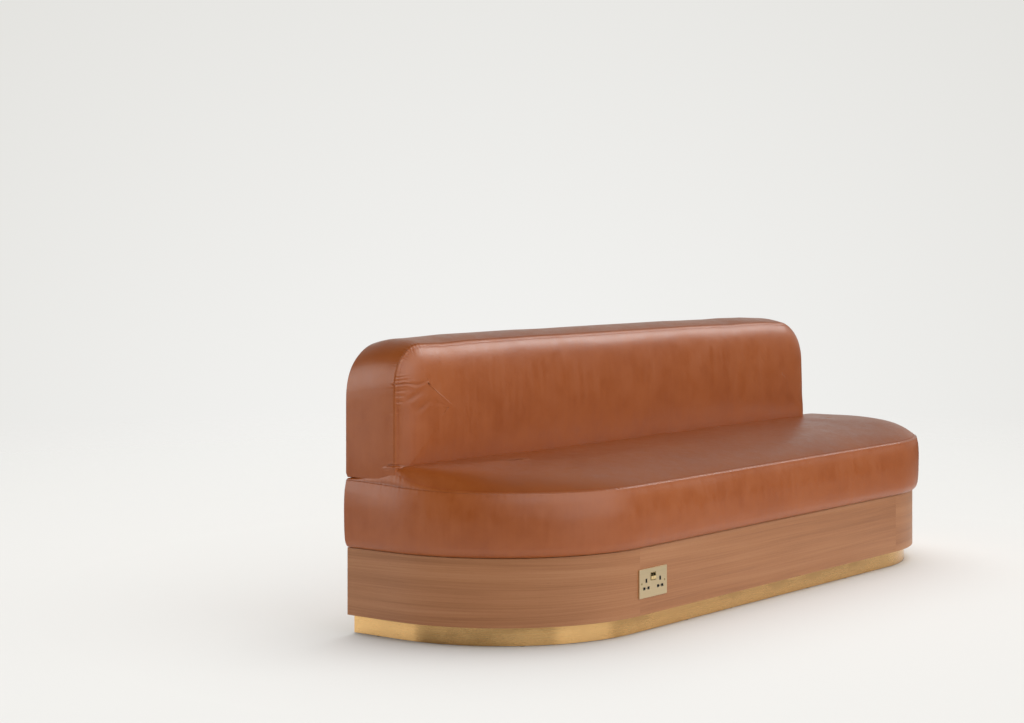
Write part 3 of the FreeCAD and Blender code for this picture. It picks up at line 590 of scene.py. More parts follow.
class Paintbox:
    """Every finish of the bench, each built once."""

    def __init__(self) -> None:
        """Names the finishes by the record's material slots."""
        self.leather = LeatherFinish()
        self.thread = ThreadFinish()
        # Darker brass for the switch collar and the faceplate screws.
        self.dark_brass = MetalFinish("dark_brass", (0.40, 0.29, 0.13), (0.26, 0.19, 0.09), 0.42)
        self.leaves = {leaf: VeneerFinish(leaf) for leaf in Leaf}
        self.by_slot: dict[str, object] = {
            "tan_leather": self.leather,
            "plywood": BoardFinish(
                "birch_plywood", (0.60, 0.42, 0.25), (0.42, 0.26, 0.13), (5.0, 60.0, 60.0), plies=420.0),
            "timber": BoardFinish("softwood", (0.62, 0.43, 0.24), (0.42, 0.24, 0.11), (4.0, 90.0, 90.0)),
            "satin_brass": MetalFinish(
                "satin_brass", (0.80, 0.50, 0.21), (0.60, 0.39, 0.18), 0.24,
                stain=0.5, rolled=0.92, ripple=0.0012),
            "plate_brass": MetalFinish(
                "plate_brass", (0.74, 0.60, 0.38), (0.66, 0.52, 0.32), 0.36, stain=0.3),
            "polished_brass": MetalFinish(
                "polished_brass", (0.90, 0.68, 0.34), (0.8, 0.6, 0.3), 0.13, brush_depth=0.000002, stain=0.1),
            "contact_brass": MetalFinish("contact_brass", (0.70, 0.50, 0.24), (0.5, 0.36, 0.2), 0.32),
            "zinc_steel": MetalFinish(
                "zinc_steel", (0.62, 0.63, 0.64), (0.5, 0.5, 0.48), 0.30, brush=(300.0, 300.0, 300.0)),
            "black_plastic": MouldedFinish("black_plastic", (0.008, 0.008, 0.009), 0.52),
            "grey_plastic": MouldedFinish("grey_plastic", (0.30, 0.30, 0.31), 0.5),
            "nylon": MouldedFinish("nylon", (0.03, 0.03, 0.03), 0.5),
            "black_rubber": MouldedFinish("black_rubber", (0.015, 0.015, 0.015), 0.68, grain_depth=0.00006),
        }
        self.made: dict[object, bpy.types.Material] = {}

    def material(self, finish: object) -> bpy.types.Material:
        """Material of a finish, built on first use.

        Args:
            finish: One of the finishes.

        Returns:
            Its material.
        """
        if finish not in self.made:
            self.made[finish] = finish.material()
        return self.made[finish]

    def dress(self, piece: bpy.types.Object, finish: object) -> None:
        """Gives a piece one finish all over.

        Args:
            piece: Mesh object.
            finish: One of the finishes.
        """
        material = self.material(finish)
        if not piece.material_slots:
            piece.data.materials.append(material)
        for slot in piece.material_slots:
            slot.material = material


# Shapes for the cushions
def put_in_scene(name: str, data: bpy.types.ID) -> bpy.types.Object:
    """Object made from its data and put into the scene.

    Args:
        name: Name of the object.
        data: Its mesh, lamp or camera.

    Returns:
        The new object.
    """
    thing = bpy.data.objects.new(name, data)
    bpy.context.scene.collection.objects.link(thing)
    return thing


def make_piece(name: str, points: Sequence, faces: Sequence, smooth: bool = False) -> bpy.types.Object:
    """Mesh object put into the scene.

    Args:
        name: Name of the piece.
        points: Its points, in metres.
        faces: Its faces, as numbers of points.
        smooth: True where it is shaded without facets.

    Returns:
        The new object.
    """
    data = bpy.data.meshes.new(name)
    data.from_pydata(points, [], faces)
    data.polygons.foreach_set("use_smooth", np.full(len(data.polygons), smooth))
    return put_in_scene(name, data)


def smooth_step(values: np.ndarray, low: float, high: float) -> np.ndarray:
    """Rise from 0 at low to 1 at high without corners."""
    share = np.clip((np.asarray(values, float) - low) / (high - low), 0.0, 1.0)
    return share * share * (3.0 - 2.0 * share)


def fade(values: np.ndarray, low: float, high: float) -> np.ndarray:
    """Fall from 1 at low to 0 at high without corners."""
    return 1.0 - smooth_step(values, low, high)


def bell(values: np.ndarray, width: float) -> np.ndarray:
    """Rounded hump of height 1 at nothing."""
    return np.exp(-((np.asarray(values, float) / width) ** 2))


def run_along(path: np.ndarray) -> np.ndarray:
    """Distance along a path at each of its points."""
    return np.concatenate([[0.0], np.cumsum(np.linalg.norm(np.diff(path, axis=0), axis=1))])


def read_line(line: Sequence[Pair], at: np.ndarray) -> np.ndarray:
    """Value of a line of (place, value) points at some places."""
    return np.interp(at, *np.array(line).T)


def unit(vectors: np.ndarray) -> np.ndarray:
    """Vectors brought to length 1 along their last axis."""
    return vectors / np.maximum(np.linalg.norm(vectors, axis=-1, keepdims=True), TINY)


@dataclass(frozen=True)
class Ripples:
    """Smooth irregular waves in the leather, with their typical wavelength each way."""

    height: float
    wave: Pair
    seed: int
    count: int = 7
    rates: Pair = (0.45, 1.6)
    evenness: float = 0.6

    def at(self, first: np.ndarray, second: np.ndarray) -> np.ndarray:
        """Height of the waves.

        Args:
            first: Distance one way, in metres.
            second: Distance the other way, in metres.

        Returns:
            Height at each place, in metres.
        """
        chance = np.random.default_rng(self.seed)
        total = np.zeros(np.broadcast(first, second).shape)
        for _ in range(self.count):
            rates = chance.uniform(*self.rates, 2) * chance.choice((-1.0, 1.0), 2)
            phase = chance.uniform(0.0, FULL_TURN)
            total = total + np.sin(
                FULL_TURN * (first * rates[0] / self.wave[0] + second * rates[1] / self.wave[1]) + phase)
        return self.height * (total * math.sqrt(2.0 / self.count) * self.evenness)


def rounded_profile(shares: Sequence[Pair], at: float) -> float:
    """Smooth curve through points, flat where they are level and never past them.

    Args:
        shares: Pairs of place and value.
        at: Place to read.

    Returns:
        Value there.
    """
    x, y = np.array(shares).T
    gaps, slopes = np.diff(x), np.diff(y) / np.diff(x)
    tangents = np.zeros(len(x))
    tangents[0], tangents[-1] = slopes[0], slopes[-1]
    for k in range(1, len(x) - 1):
        if slopes[k - 1] * slopes[k] > 0.0:
            tangents[k] = 2.0 * slopes[k - 1] * slopes[k] / (slopes[k - 1] + slopes[k])
    k = np.clip(np.searchsorted(x, at, side="right") - 1, 0, len(x) - 2)
    t = (at - x[k]) / gaps[k]
    rise = (3.0 - 2.0 * t) * t * t
    bend = t * (1.0 - t) ** 2 * tangents[k] + t * t * (t - 1.0) * tangents[k + 1]
    return float(y[k] * (1.0 - rise) + y[k + 1] * rise + gaps[k] * bend)


@dataclass
class PadOutline:
    """Outline of a pad: a long way round two rounded far corners, closed by one straight side.

    Local places are "along" the pad and "out" from its closing side.
    """

    half: float
    reach: float
    radius: float
    foot_radius: float
    side_shares: np.ndarray
    corner_points: int
    far_points: int
    foot_points: int = 8
    spine_share: float = 0.97

    def __post_init__(self) -> None:
        """Numbers the columns of the long way round and pairs them with the closing side."""
        self.foot_turn = np.linspace(0.0, math.pi / 2, self.foot_points + 1)
        self.corner_turn = np.linspace(0.0, math.pi / 2, self.corner_points + 1)[1:]
        self.far_shares = np.linspace(-1.0, 1.0, self.far_points + 1)[1:-1]
        self.wing = len(self.foot_turn) + len(self.side_shares) + len(self.corner_turn)
        self.count = 2 * self.wing + len(self.far_shares)
        self.columns = 2 * self.count - 2
        self.spine_of = np.concatenate([np.arange(self.count), np.arange(self.count - 2, 0, -1)])
        start = self.wing - len(self.corner_turn)
        self.left_corner = slice(start, self.wing)
        self.right_corner = slice(self.count - self.wing, self.count - start)

    def spine_places(self, inset: float) -> np.ndarray:
        """Place along the pad of each spine point.

        Args:
            inset: Inset of the last ring.

        Returns:
            The places, from one end to the other.
        """
        end = self.half - inset - (self.reach - 2.0 * inset) / 2.0
        flat = self.half - self.radius
        keep = min(1.0, self.spine_share * end / flat)
        left = np.linspace(-end, -flat * keep, self.wing)
        return np.concatenate([left, self.far_shares * flat * keep, -left[::-1]])

    def wing_points(self, grow: float, top: float, close: float,
                    turn: float) -> tuple[np.ndarray, np.ndarray]:
        """Foot, side and corner at one end, as places beyond the pad's middle and outward headings.

        Args:
            grow: How far the side stands out past the pad's end.
            top: How far the far side stands out.
            close: How far the closing side stands out.
            turn: Radius of the corner.

        Returns:
            Points as (beyond, out), and unit headings straight out of the outline.
        """
        edge, peak = self.half + grow, self.reach + top
        foot, corner = self.foot_turn, self.corner_turn
        radius = self.foot_radius
        base = -close + radius
        rise = peak - turn - base
        beyond = np.concatenate([
            edge - radius + radius * np.sin(foot),
            np.full(len(self.side_shares), edge),
            edge - turn + turn * np.cos(corner),
        ])
        out = np.concatenate([
            base - radius * np.cos(foot),
            base + rise * self.side_shares,
            peak - turn + turn * np.sin(corner),
        ])
        zeros, ones = np.zeros(len(self.side_shares)), np.ones(len(self.side_shares))
        heading = np.stack([
            np.concatenate([np.sin(foot), ones, np.cos(corner)]),
            np.concatenate([0.0 * foot, zeros, np.sin(corner)]),
        ], axis=1)
        return np.stack([beyond, out], axis=1), heading

    def ring(self, grow: tuple[float, float], top: float, close: float, turn: tuple[float, float],
             inset: float, swell: Union[np.ndarray, float] = 0.0) -> np.ndarray:
        """Closed ring of points.

        Args:
            grow: How far the left and right sides stand out.
            top: How far the far side stands out.
            close: How far the closing side stands out.
            turn: Radius of the left and right corners.
            inset: Inset of the last ring, which sets the columns' places on the closing side.
            swell: Extra distance out at each point of the long way round.

        Returns:
            Array of (along, out), one row per column.
        """
        left, left_heading = self.wing_points(grow[0], top, close, turn[0])
        right, right_heading = self.wing_points(grow[1], top, close, turn[1])
        left, left_heading = left * (-1.0, 1.0), left_heading * (-1.0, 1.0)
        right, right_heading = right[::-1], right_heading[::-1]
        share = (self.far_shares + 1.0) / 2.0
        far = left[-1] * (1.0 - share[:, None]) + right[0] * share[:, None]
        heading = np.concatenate([left_heading, np.tile((0.0, 1.0), (len(far), 1)), right_heading])
        long_way = np.concatenate([left, far, right])
        long_way = long_way + heading * np.broadcast_to(np.asarray(swell, float), (self.count,))[:, None]
        spine = self.spine_places(inset)
        places = (spine[1:-1][::-1] / spine[-1] + 1.0) / 2.0
        closing = long_way[0, 0] + (long_way[-1, 0] - long_way[0, 0]) * places
        return np.concatenate([long_way, np.stack([closing, np.full(len(closing), -close)], axis=1)])

    def plain_ring(self, inset: float = 0.05) -> np.ndarray:
        """Closed ring on the outline itself, for a last ring at an inset."""
        return self.ring((0.0, 0.0), 0.0, 0.0, (self.radius, self.radius), inset)

    def run_length(self) -> np.ndarray:
        """Distance along the long way round at each of its points, from its left foot."""
        return run_along(self.plain_ring()[: self.count])


@dataclass
class PadRow:
    """One ring of a pad: how far out its sides stand, how high it is, and its distance past the seam."""

    grow: Pair
    top: float
    close: float
    turn: Pair
    height: Union[np.ndarray, float]
    past_seam: float
    swell: Union[np.ndarray, float] = 0.0


@dataclass
class PadSkin:
    """Leather skin of a pad, as rings of points joined to a spine at each end."""

    outline: PadOutline
    inset: float
    mirrored: bool = False
    rows: list[PadRow] = field(default_factory=list)

    def grid(self) -> np.ndarray:
        """Points of every row.

        Returns:
            Rows by columns by (along, out, height).
        """
        rings = []
        for row in self.rows:
            flat = self.outline.ring(row.grow, row.top, row.close, row.turn, self.inset, row.swell)
            rings.append(np.column_stack([flat, self.spread(row.height)]))
        return np.array(rings)

    def spread(self, values: Union[np.ndarray, float]) -> np.ndarray:
        """Values on the long way round, carried on evenly along the closing side.

        Args:
            values: One value, or one for each point of the long way round or of the whole ring.

        Returns:
            One value per column.
        """
        if np.size(values) == self.outline.columns:
            return np.asarray(values, float)
        values = np.broadcast_to(np.asarray(values, float), (self.outline.count,))
        share = np.linspace(0.0, 1.0, self.outline.columns - self.outline.count + 2)[1:-1]
        return np.concatenate([values, values[-1] * (1.0 - share) + values[0] * share])

    def normals(self, grid: np.ndarray) -> np.ndarray:
        """Outward normal at every point of the grid.

        Args:
            grid: Points, rows by columns by three.

        Returns:
            Unit normals of the same shape.
        """
        across = np.roll(grid, -1, axis=1) - np.roll(grid, 1, axis=1)
        normal = unit(np.cross(across, np.gradient(grid, axis=0)))
        return -normal if self.mirrored else normal

    def mesh(self, name: str, grid: np.ndarray, spines: Sequence[np.ndarray],
             paint: dict[str, np.ndarray]) -> bpy.types.Object:
        """Closed mesh from the grid and its two spines.

        Args:
            name: Name of the piece.
            grid: Points in the bench's frame, rows by columns by three.
            spines: Points of the first and last spine.
            paint: Values to store at the grid's points, by name.

        Returns:
            The new object.
        """
        rows, columns, _ = grid.shape
        count = self.outline.count
        points = np.concatenate([grid.reshape(-1, 3), spines[0], spines[1]])
        index = np.arange(rows * columns).reshape(rows, columns)
        beside = np.roll(index, -1, axis=1)
        quads = np.stack([index[:-1], beside[:-1], beside[1:], index[1:]], axis=-1).reshape(-1, 4)
        faces = quads.tolist()
        match = self.outline.spine_of
        for row, start in ((0, rows * columns), (rows - 1, rows * columns + count)):
            inner = start + match
            for column in range(columns):
                after = (column + 1) % columns
                face = [index[row, column], index[row, after], inner[after], inner[column]]
                if face[2] == face[3]:
                    face.pop()
                faces.append(face if row else face[::-1])
        turn = -1 if self.mirrored else 1
        faces = [[int(i) for i in face[::turn]] for face in faces]
        piece = make_piece(name, points.tolist(), faces, smooth=True)
        for key, values in paint.items():
            layer = piece.data.attributes.new(key, "FLOAT", "POINT")
            full = np.concatenate([values.reshape(-1), np.zeros(2 * count)])
            layer.data.foreach_set("value", full.astype(np.float32))
        piece.data.update()
        return piece


@dataclass(frozen=True)
class StitchRow:
    """Row of single stitches along a path, each a short rounded rod with sunk ends."""

    pitch: float = 0.0068
    length: float = 0.0050
    radius: float = 0.00055
    sides: int = 6
    profile: tuple[Pair, ...] = ((-1.0, 0.15), (-0.7, 0.85), (0.0, 1.0), (0.7, 0.85), (1.0, 0.15))
    ahead: float = 0.002
    end_sink: float = 1.2
    middle_lift: float = 0.2

    def stitch_faces(self, base: int) -> list[tuple[int, ...]]:
        """Faces of one stitch.

        Args:
            base: Number of its first point.

        Returns:
            Its sides, then its two ends.
        """
        sides, rings = self.sides, len(self.profile)
        faces = []
        for ring in range(rings - 1):
            for k in range(sides):
                a, b = base + ring * sides + k, base + ring * sides + (k + 1) % sides
                faces.append((a, b, b + sides, a + sides))
        faces.append(tuple(base + k for k in reversed(range(sides))))
        faces.append(tuple(base + (rings - 1) * sides + k for k in range(sides)))
        return faces

    def build(self, name: str, path: np.ndarray, normals: np.ndarray) -> bpy.types.Object:
        """Builds the stitches.

        Args:
            name: Name of the piece.
            path: Points that the row follows.
            normals: Outward normal at each point.

        Returns:
            The new object.
        """
        run = run_along(path)
        places = np.arange(self.pitch / 2, run[-1], self.pitch)
        centre, ahead, normal = (
            np.stack([np.interp(at, run, values[:, k]) for k in range(3)], axis=1)
            for at, values in ((places, path), (places + self.ahead, path), (places, normals)))
        tangent = unit(ahead - centre)
        side = unit(np.cross(normal, tangent))
        out = np.cross(tangent, side)
        points = []
        for share, width in self.profile:
            sink = self.radius * (self.end_sink * share * share - self.middle_lift)
            for turn in np.arange(self.sides) * FULL_TURN / self.sides:
                across, up = math.cos(turn) * self.radius * width, math.sin(turn) * self.radius * width
                points.append(centre + tangent * share * self.length / 2 + side * across + out * (up - sink))
        stack = np.stack(points, axis=1).reshape(-1, 3)
        faces = [face for k in range(len(places)) for face in self.stitch_faces(k * len(points))]
        return make_piece(name, stack.tolist(), faces, smooth=True)


@dataclass(frozen=True)
class Seam:
    """How the leather runs beside a seam: a groove, two lips, and the dip of a stitched row."""

    groove_width: float = 0.0013
    lip: float = 0.14
    lip_gap: float = 0.0042
    lip_width: float = 0.0026
    dip: float = 0.25
    dip_width: float = 0.0012

    def height(self, past: np.ndarray, stitch_gap: float, depth: float) -> np.ndarray:
        """Height of the leather.

        Args:
            past: Distance past the seam, in metres.
            stitch_gap: Distance of the stitched row past the seam.
            depth: Depth of the groove.

        Returns:
            Height in metres.
        """
        groove = -bell(past, self.groove_width)
        lips = self.lip * bell(np.abs(past) - self.lip_gap, self.lip_width)
        dip = -self.dip * bell(past - stitch_gap, self.dip_width)
        return depth * (groove + lips + dip)


@dataclass(frozen=True)
class Fold:
    """Short fold pressed into the leather along a path."""

    path: tuple[Triple, ...]
    depth: float
    width: float
    lip: float = 0.45
    lip_gap: float = 2.1
    start: Pair = (-0.02, 0.22)
    end: Pair = (0.5, 1.0)

    def height(self, points: np.ndarray) -> np.ndarray:
        """Height of the leather round the fold: a valley with a soft lip on each side.

        Args:
            points: Places on the leather.

        Returns:
            Height at each place, in metres.
        """
        path = np.array(self.path)
        run = run_along(path)
        near = np.full(points.shape[:-1], 1.0)
        share = np.zeros(points.shape[:-1])
        for k, way in enumerate(np.diff(path, axis=0)):
            at = np.clip(((points - path[k]) @ way) / (way @ way), 0.0, 1.0)
            gap = np.linalg.norm(points - path[k] - at[..., None] * way, axis=-1)
            closer = gap < near
            near = np.where(closer, gap, near)
            share = np.where(closer, (run[k] + at * (run[k + 1] - run[k])) / run[-1], share)
        taper = smooth_step(share, *self.start) * fade(share, *self.end)
        lips = self.lip * bell(near - self.lip_gap * self.width, self.width)
        return self.depth * taper * (lips - bell(near, self.width))


@dataclass
class Cushion(ABC):
    """Boxed pad: a band seamed to a crowned panel, with a row of stitches past the seam.

    Rows before the seam have a distance past it below nothing; those of the hidden underside or
    rear edge have UNSEEN, and stay plain.
    """

    UNSEEN = -1.0
    FIRST_SEEN = -0.5

    name: str
    stitch_gap: float
    stitch_margin: int
    groove: float
    pucker: Ripples
    sway: Ripples
    thick_axis: int
    first_level: float
    last_inset: float
    closing_shares: tuple[float, ...]
    crease_share: float
    rubs: tuple[Triple, ...]
    stitch_lift: float = 0.0003
    pucker_reach: float = 0.012
    sway_fade: Pair = (0.01, 0.06)
    crease_width: float = 0.0011
    seam: Seam = Seam()

    @abstractmethod
    def rows(self) -> list[PadRow]:
        """Rings from the hidden edge, over the seam and onto the panel."""

    @abstractmethod
    def level(self, inset: float) -> np.ndarray:
        """Height of the panel at a distance in from the seam, one value per column."""

    @abstractmethod
    def placed(self, local: np.ndarray) -> np.ndarray:
        """Local points (along, out, height) moved into the bench's frame."""

    @abstractmethod
    def surface(self, points: np.ndarray, past: np.ndarray) -> tuple[np.ndarray, np.ndarray]:
        """Height of seams, waves and folds at each point, and the painted shade of its folds."""

    def settled(self, points: np.ndarray) -> np.ndarray:
        """Points after the cushion has taken its place; here they stay."""
        return points

    def settling(self, share: float) -> float:
        """How far a closing ring lies level with the spine, at its share of the way; here not at all."""
        return 0.0 * share

    def waves(self, points: np.ndarray, past: np.ndarray) -> np.ndarray:
        """Puckers along the seam and the slow sway away from it.

        Args:
            points: Places on the leather.
            past: Distance past the seam of each row, as a column.

        Returns:
            Height at each row and column, in metres.
        """
        run = self.skin.spread(self.run)[None, :]
        pucker = self.pucker.at(run, np.zeros_like(past)) * np.exp(-np.abs(past) / self.pucker_reach)
        sway = self.sway.at(points[..., 0], points[..., 3 - self.thick_axis])
        return pucker + sway * smooth_step(np.abs(past), *self.sway_fade)

    def crest(self, inset: float) -> np.ndarray:
        """Place of the panel at a distance in from the seam, along the cushion's thick way."""
        height = self.level(inset)
        return self.placed(np.stack([0.0 * height, 0.0 * height, height], axis=1))[:, self.thick_axis]

    def closing(self, edge: np.ndarray) -> tuple[np.ndarray, np.ndarray, np.ndarray]:
        """Closes the panel from its last row to a spine.

        Args:
            edge: Points of the last row.

        Returns:
            The first spine, the last spine, and the rings between the last row and it.
        """
        outline, axis = self.outline, self.thick_axis
        places = outline.spine_places(self.last_inset)
        out = np.full_like(places, outline.reach / 2)
        half_slot = (outline.reach - 2 * self.last_inset) / 2
        peak = self.level(self.last_inset + half_slot)[: outline.count]
        first = self.placed(np.stack([places, out, np.full_like(places, self.first_level)], axis=1))
        last = self.placed(np.stack([places, out, peak], axis=1))
        step = edge[:, axis] - self.crest(self.last_inset)
        rings = []
        for share in self.closing_shares:
            ring = edge * (1.0 - share) + last[outline.spine_of] * share
            own = self.crest(self.last_inset + half_slot * share) + step * (1.0 - share)
            weight = self.settling(share)
            ring[:, axis] = own * (1.0 - weight) + last[outline.spine_of, axis] * weight
            rings.append(ring)
        return first, last, np.array(rings)

    def build(self) -> list[bpy.types.Object]:
        """Builds the cushion and its stitched row.

        Returns:
            The cushion first, then the stitches.
        """
        self.skin.rows = self.rows()
        plain = self.placed(self.skin.grid())
        past = np.array([row.past_seam for row in self.skin.rows])[:, None]
        normal = self.skin.normals(plain)
        height, fold_and_tuck_shade = self.surface(plain, past)
        grid = plain + normal * (height * (past > self.FIRST_SEEN))[..., None]
        first, last, rings = self.closing(grid[-1])
        grid = self.settled(np.concatenate([grid, rings]))
        wide, blank = np.ones((1, grid.shape[1])), np.zeros(rings.shape[:2])
        # Darker along the seam, plus the painted shade of the gathers, folds and tuck.
        crease = bell(past, self.crease_width) * self.crease_share * wide + fold_and_tuck_shade
        rub = sum(share * bell(past - place, width) for place, width, share in self.rubs) * wide
        paint = {"crease": np.concatenate([crease, blank]), "rub": np.concatenate([rub, blank])}
        leather = self.skin.mesh(f"{self.name}_leather", grid, (first, self.settled(last)), paint)
        row = int(np.argmin(np.abs(past[:, 0] - self.stitch_gap)))
        keep = slice(self.stitch_margin, self.outline.count - self.stitch_margin)
        path, facing = grid[row][keep], normal[row][keep]
        stitches = StitchRow().build(f"{self.name}_stitches", path + facing * self.stitch_lift, facing)
        return [leather, stitches]


@dataclass
class SeatCushion(Cushion):
    """Seat: a side band round the ends and front, seamed to a crowned top panel."""

    name: str = "seat"
    stitch_gap: float = 0.0085
    stitch_margin: int = 12
    groove: float = 0.0011
    pucker: Ripples = Ripples(0.00022, (0.021, 1.0), 11)
    sway: Ripples = Ripples(0.0007, (0.55, 0.40), 5)
    thick_axis: int = 2
    first_level: float = 0.2604
    last_inset: float = 0.160
    closing_shares: tuple[float, ...] = (
        0.06, 0.12, 0.17, 0.207, 0.233, 0.259, 0.285, 0.33, 0.41, 0.51, 0.63, 0.75, 0.88)
    crease_share: float = 0.55
    rubs: tuple[Triple, ...] = ((0.004, 0.004, 1.0), (-0.02, 0.03, 0.5))

    side_points: int = 60
    corner_points: int = 240
    far_points: int = 330
    foot_radius: float = 0.012
    band_height: float = 0.188
    bulge: float = 0.020
    right_swell: float = 0.010
    right_band_share: float = 0.5
    right_bow: Triple = (0.003, 0.45, 0.35)
    left_swell: float = 0.005
    seam_bulge: float = 0.005
    left_seam_bulge: float = 0.009
    seam_lift: float = 0.016
    top: float = 0.5100
    left_top: float = 0.0060
    left_top_ends: Pair = (-1.125, -0.675)
    right_drop: float = 0.0075
    right_drop_ends: Pair = (0.55, 1.25)
    right_drop_depths: Pair = (-0.56, -0.10)
    top_only: Pair = (0.45, 0.50)
    crown_reach: float = 0.125
    rear_reach: float = 0.055
    right_reach: float = 0.058
    end_reach: float = 0.0065
    left_run: Pair = (0.0, 0.45)
    left_end_run: Pair = (0.1, 0.5)
    right_run: Pair = (0.55, 1.05)
    reach_run: Pair = (0.17, 0.62)
    squeeze: float = 0.88
    squeeze_run: Pair = (0.02, 0.20)
    squeeze_insets: Pair = (0.012, 0.050)
    seam_swell_rise: Pair = (0.45, 0.95)
    seam_swell_insets: Pair = (0.0, 0.12)
    panel_stretch: float = 1.2
    foot_calm: Pair = (0.004, 0.03)
    settle_from: float = 0.2
    back_ends: Pair = (-1.336, 1.026)
    back_margin: float = 0.020
    back_depth: float = 0.206
    back_foot: float = 0.4693
    back_gap: float = 0.0015
    press_width: float = 0.014
    underside: tuple[Triple, ...] = (
        (-0.05, -0.05, 0.2604), (-0.018, -0.012, 0.2604), (-0.005, -0.003, 0.2603), (-0.0025, -0.001, 0.2607),
        (-0.0005, 0.0, 0.2618))
    band_shares: tuple[Pair, ...] = (
        (0.0, 0.0), (0.02, 0.40), (0.06, 0.72), (0.14, 0.94), (0.30, 1.0), (0.53, 0.98), (0.82, 0.66),
        (1.0, 0.25))
    band_steps: tuple[float, ...] = (
        0.014, 0.024, 0.036, 0.05, 0.07, 0.09, 0.12, 0.155, 0.195, 0.24, 0.29, 0.34, 0.395, 0.45, 0.505, 0.56,
        0.615, 0.67, 0.72, 0.765, 0.805)
    below_seam: tuple[float, ...] = (
        0.030, 0.022, 0.016, 0.012, 0.009, 0.0065, 0.0048, 0.0035, 0.0024, 0.0016, 0.0008)
    panel_insets: tuple[float, ...] = (
        0.0, 0.0006, 0.0012, 0.0018, 0.0026, 0.0035, 0.0046, 0.0056, 0.0063, 0.0070, 0.0080, 0.0095, 0.0115,
        0.014, 0.017, 0.021, 0.026, 0.032, 0.039, 0.047, 0.056, 0.066, 0.077, 0.089, 0.102, 0.116, 0.131,
        0.146)

    def __post_init__(self) -> None:
        """Sets out the plan and what changes along the seam."""
        side = np.linspace(0.0, 1.0, self.side_points)[1:]
        self.outline = PadOutline(HALF_LENGTH, REAR_Y - FRONT_Y, CORNER_RADIUS, self.foot_radius, side,
                                  self.corner_points, self.far_points)
        self.skin = PadSkin(self.outline, self.last_inset)
        self.run = self.outline.run_length()
        count = self.outline.count
        rear = self.outline.plain_ring(self.last_inset)[count:, 0]
        from_left = np.concatenate([self.run, HALF_LENGTH + rear])
        from_right = np.concatenate([self.run[-1] - self.run, HALF_LENGTH - rear])
        left, right = fade(from_left, *self.left_run), fade(from_right, *self.right_run)
        self.right = right[:count]
        self.left_end = fade(self.run, *self.left_end_run)
        self.seam_height = BASE_TOP + self.band_height + self.seam_lift * left
        self.seam_swell = (self.left_seam_bulge * left + self.right_swell * right)[:count]
        middle = np.where(np.arange(self.outline.columns) >= count, self.rear_reach, self.crown_reach)
        reach = self.end_reach + (middle - self.end_reach) * smooth_step(from_left, *self.reach_run)
        self.reach = reach + (self.right_reach - middle) * right
        self.crown = self.top - self.seam_height
        self.squeezed = self.squeeze * fade(from_left, *self.squeeze_run)

    def row(self, out: float, close: float, height: Union[np.ndarray, float], past: float,
            swell: Union[np.ndarray, float] = 0.0) -> PadRow:
        """Ring whose sides and front stand out by the same distance."""
        turn = CORNER_RADIUS + out
        return PadRow((out, out), out, close, (turn, turn), height, past, swell)

    def rows(self) -> list[PadRow]:
        """Rings from under the band, up over the seam and onto the crown.

        Returns:
            The rings in order.
        """
        rows = [self.row(*place, self.UNSEEN) for place in self.underside]
        bow, bow_place, bow_width = self.right_bow
        for share in (*self.band_steps, *(1.0 - gap / self.band_height for gap in self.below_seam)):
            out = self.bulge * rounded_profile(self.band_shares, share)
            swell = self.seam_swell * smooth_step(share, *self.seam_swell_rise)
            swell = swell + self.right_band_share * self.right_swell * self.right * share
            swell = swell + bow * self.right * bell(share - bow_place, bow_width)
            swell = swell + self.left_swell * math.sin(math.pi * share) * self.left_end
            height = BASE_TOP + (self.seam_height - BASE_TOP) * share
            rows.append(self.row(out, 0.0, height, -self.band_height * (1.0 - share), swell))
        for inset in (*self.panel_insets, self.last_inset):
            swell = self.seam_swell * fade(inset, *self.seam_swell_insets)
            past = self.panel_stretch * inset
            rows.append(self.row(self.seam_bulge - inset, -inset, self.level(inset), past, swell))
        return rows

    def level(self, inset: float) -> np.ndarray:
        """Height of the top panel at a distance in from the seam."""
        rise = (1.0 - np.exp(-inset / self.reach)) * (1.0 - self.squeezed * fade(inset, *self.squeeze_insets))
        return self.seam_height + self.crown * rise

    def placed(self, local: np.ndarray) -> np.ndarray:
        """Local points moved into the bench's frame."""
        along, out, height = np.moveaxis(local, -1, 0)
        return np.stack([along, REAR_Y - out, height], axis=-1)

    def surface(self, points: np.ndarray, past: np.ndarray) -> tuple[np.ndarray, np.ndarray]:
        """Height of the seam and the waves, which are calm near the base.

        Args:
            points: Places on the leather.
            past: Distance past the seam of each row, as a column.

        Returns:
            Height in metres, and no painted shade, at each row and column.
        """
        calm = smooth_step(points[..., 2] - BASE_TOP, *self.foot_calm)
        height = self.seam.height(past, self.stitch_gap, self.groove) + self.waves(points, past) * calm
        return height, np.zeros_like(height)

    def settling(self, share: float) -> float:
        """How far a closing ring lies level with the spine, at its share of the way."""
        return float(smooth_step(share, self.settle_from, 1.0))

    def settled(self, points: np.ndarray) -> np.ndarray:
        """Points raised at the left, lowered towards the right rear, and pressed down under the back.

        Args:
            points: Places on the leather, which are changed.

        Returns:
            The same points.
        """
        x, out = points[..., 0], REAR_Y - points[..., 1]
        fall = self.right_drop * smooth_step(x, *self.right_drop_ends)
        fall = fall * smooth_step(-out, *self.right_drop_depths)
        lift = self.left_top * fade(x, *self.left_top_ends)
        points[..., 2] += (lift - fall) * smooth_step(points[..., 2], *self.top_only)
        z = points[..., 2]
        from_ends = np.minimum(x - self.back_ends[0], self.back_ends[1] - x) - self.back_margin
        share = smooth_step(np.minimum(from_ends, self.back_depth - out), 0.0, self.press_width)
        points[..., 2] = z + (np.minimum(z, self.back_foot - self.back_gap) - z) * share
        return points


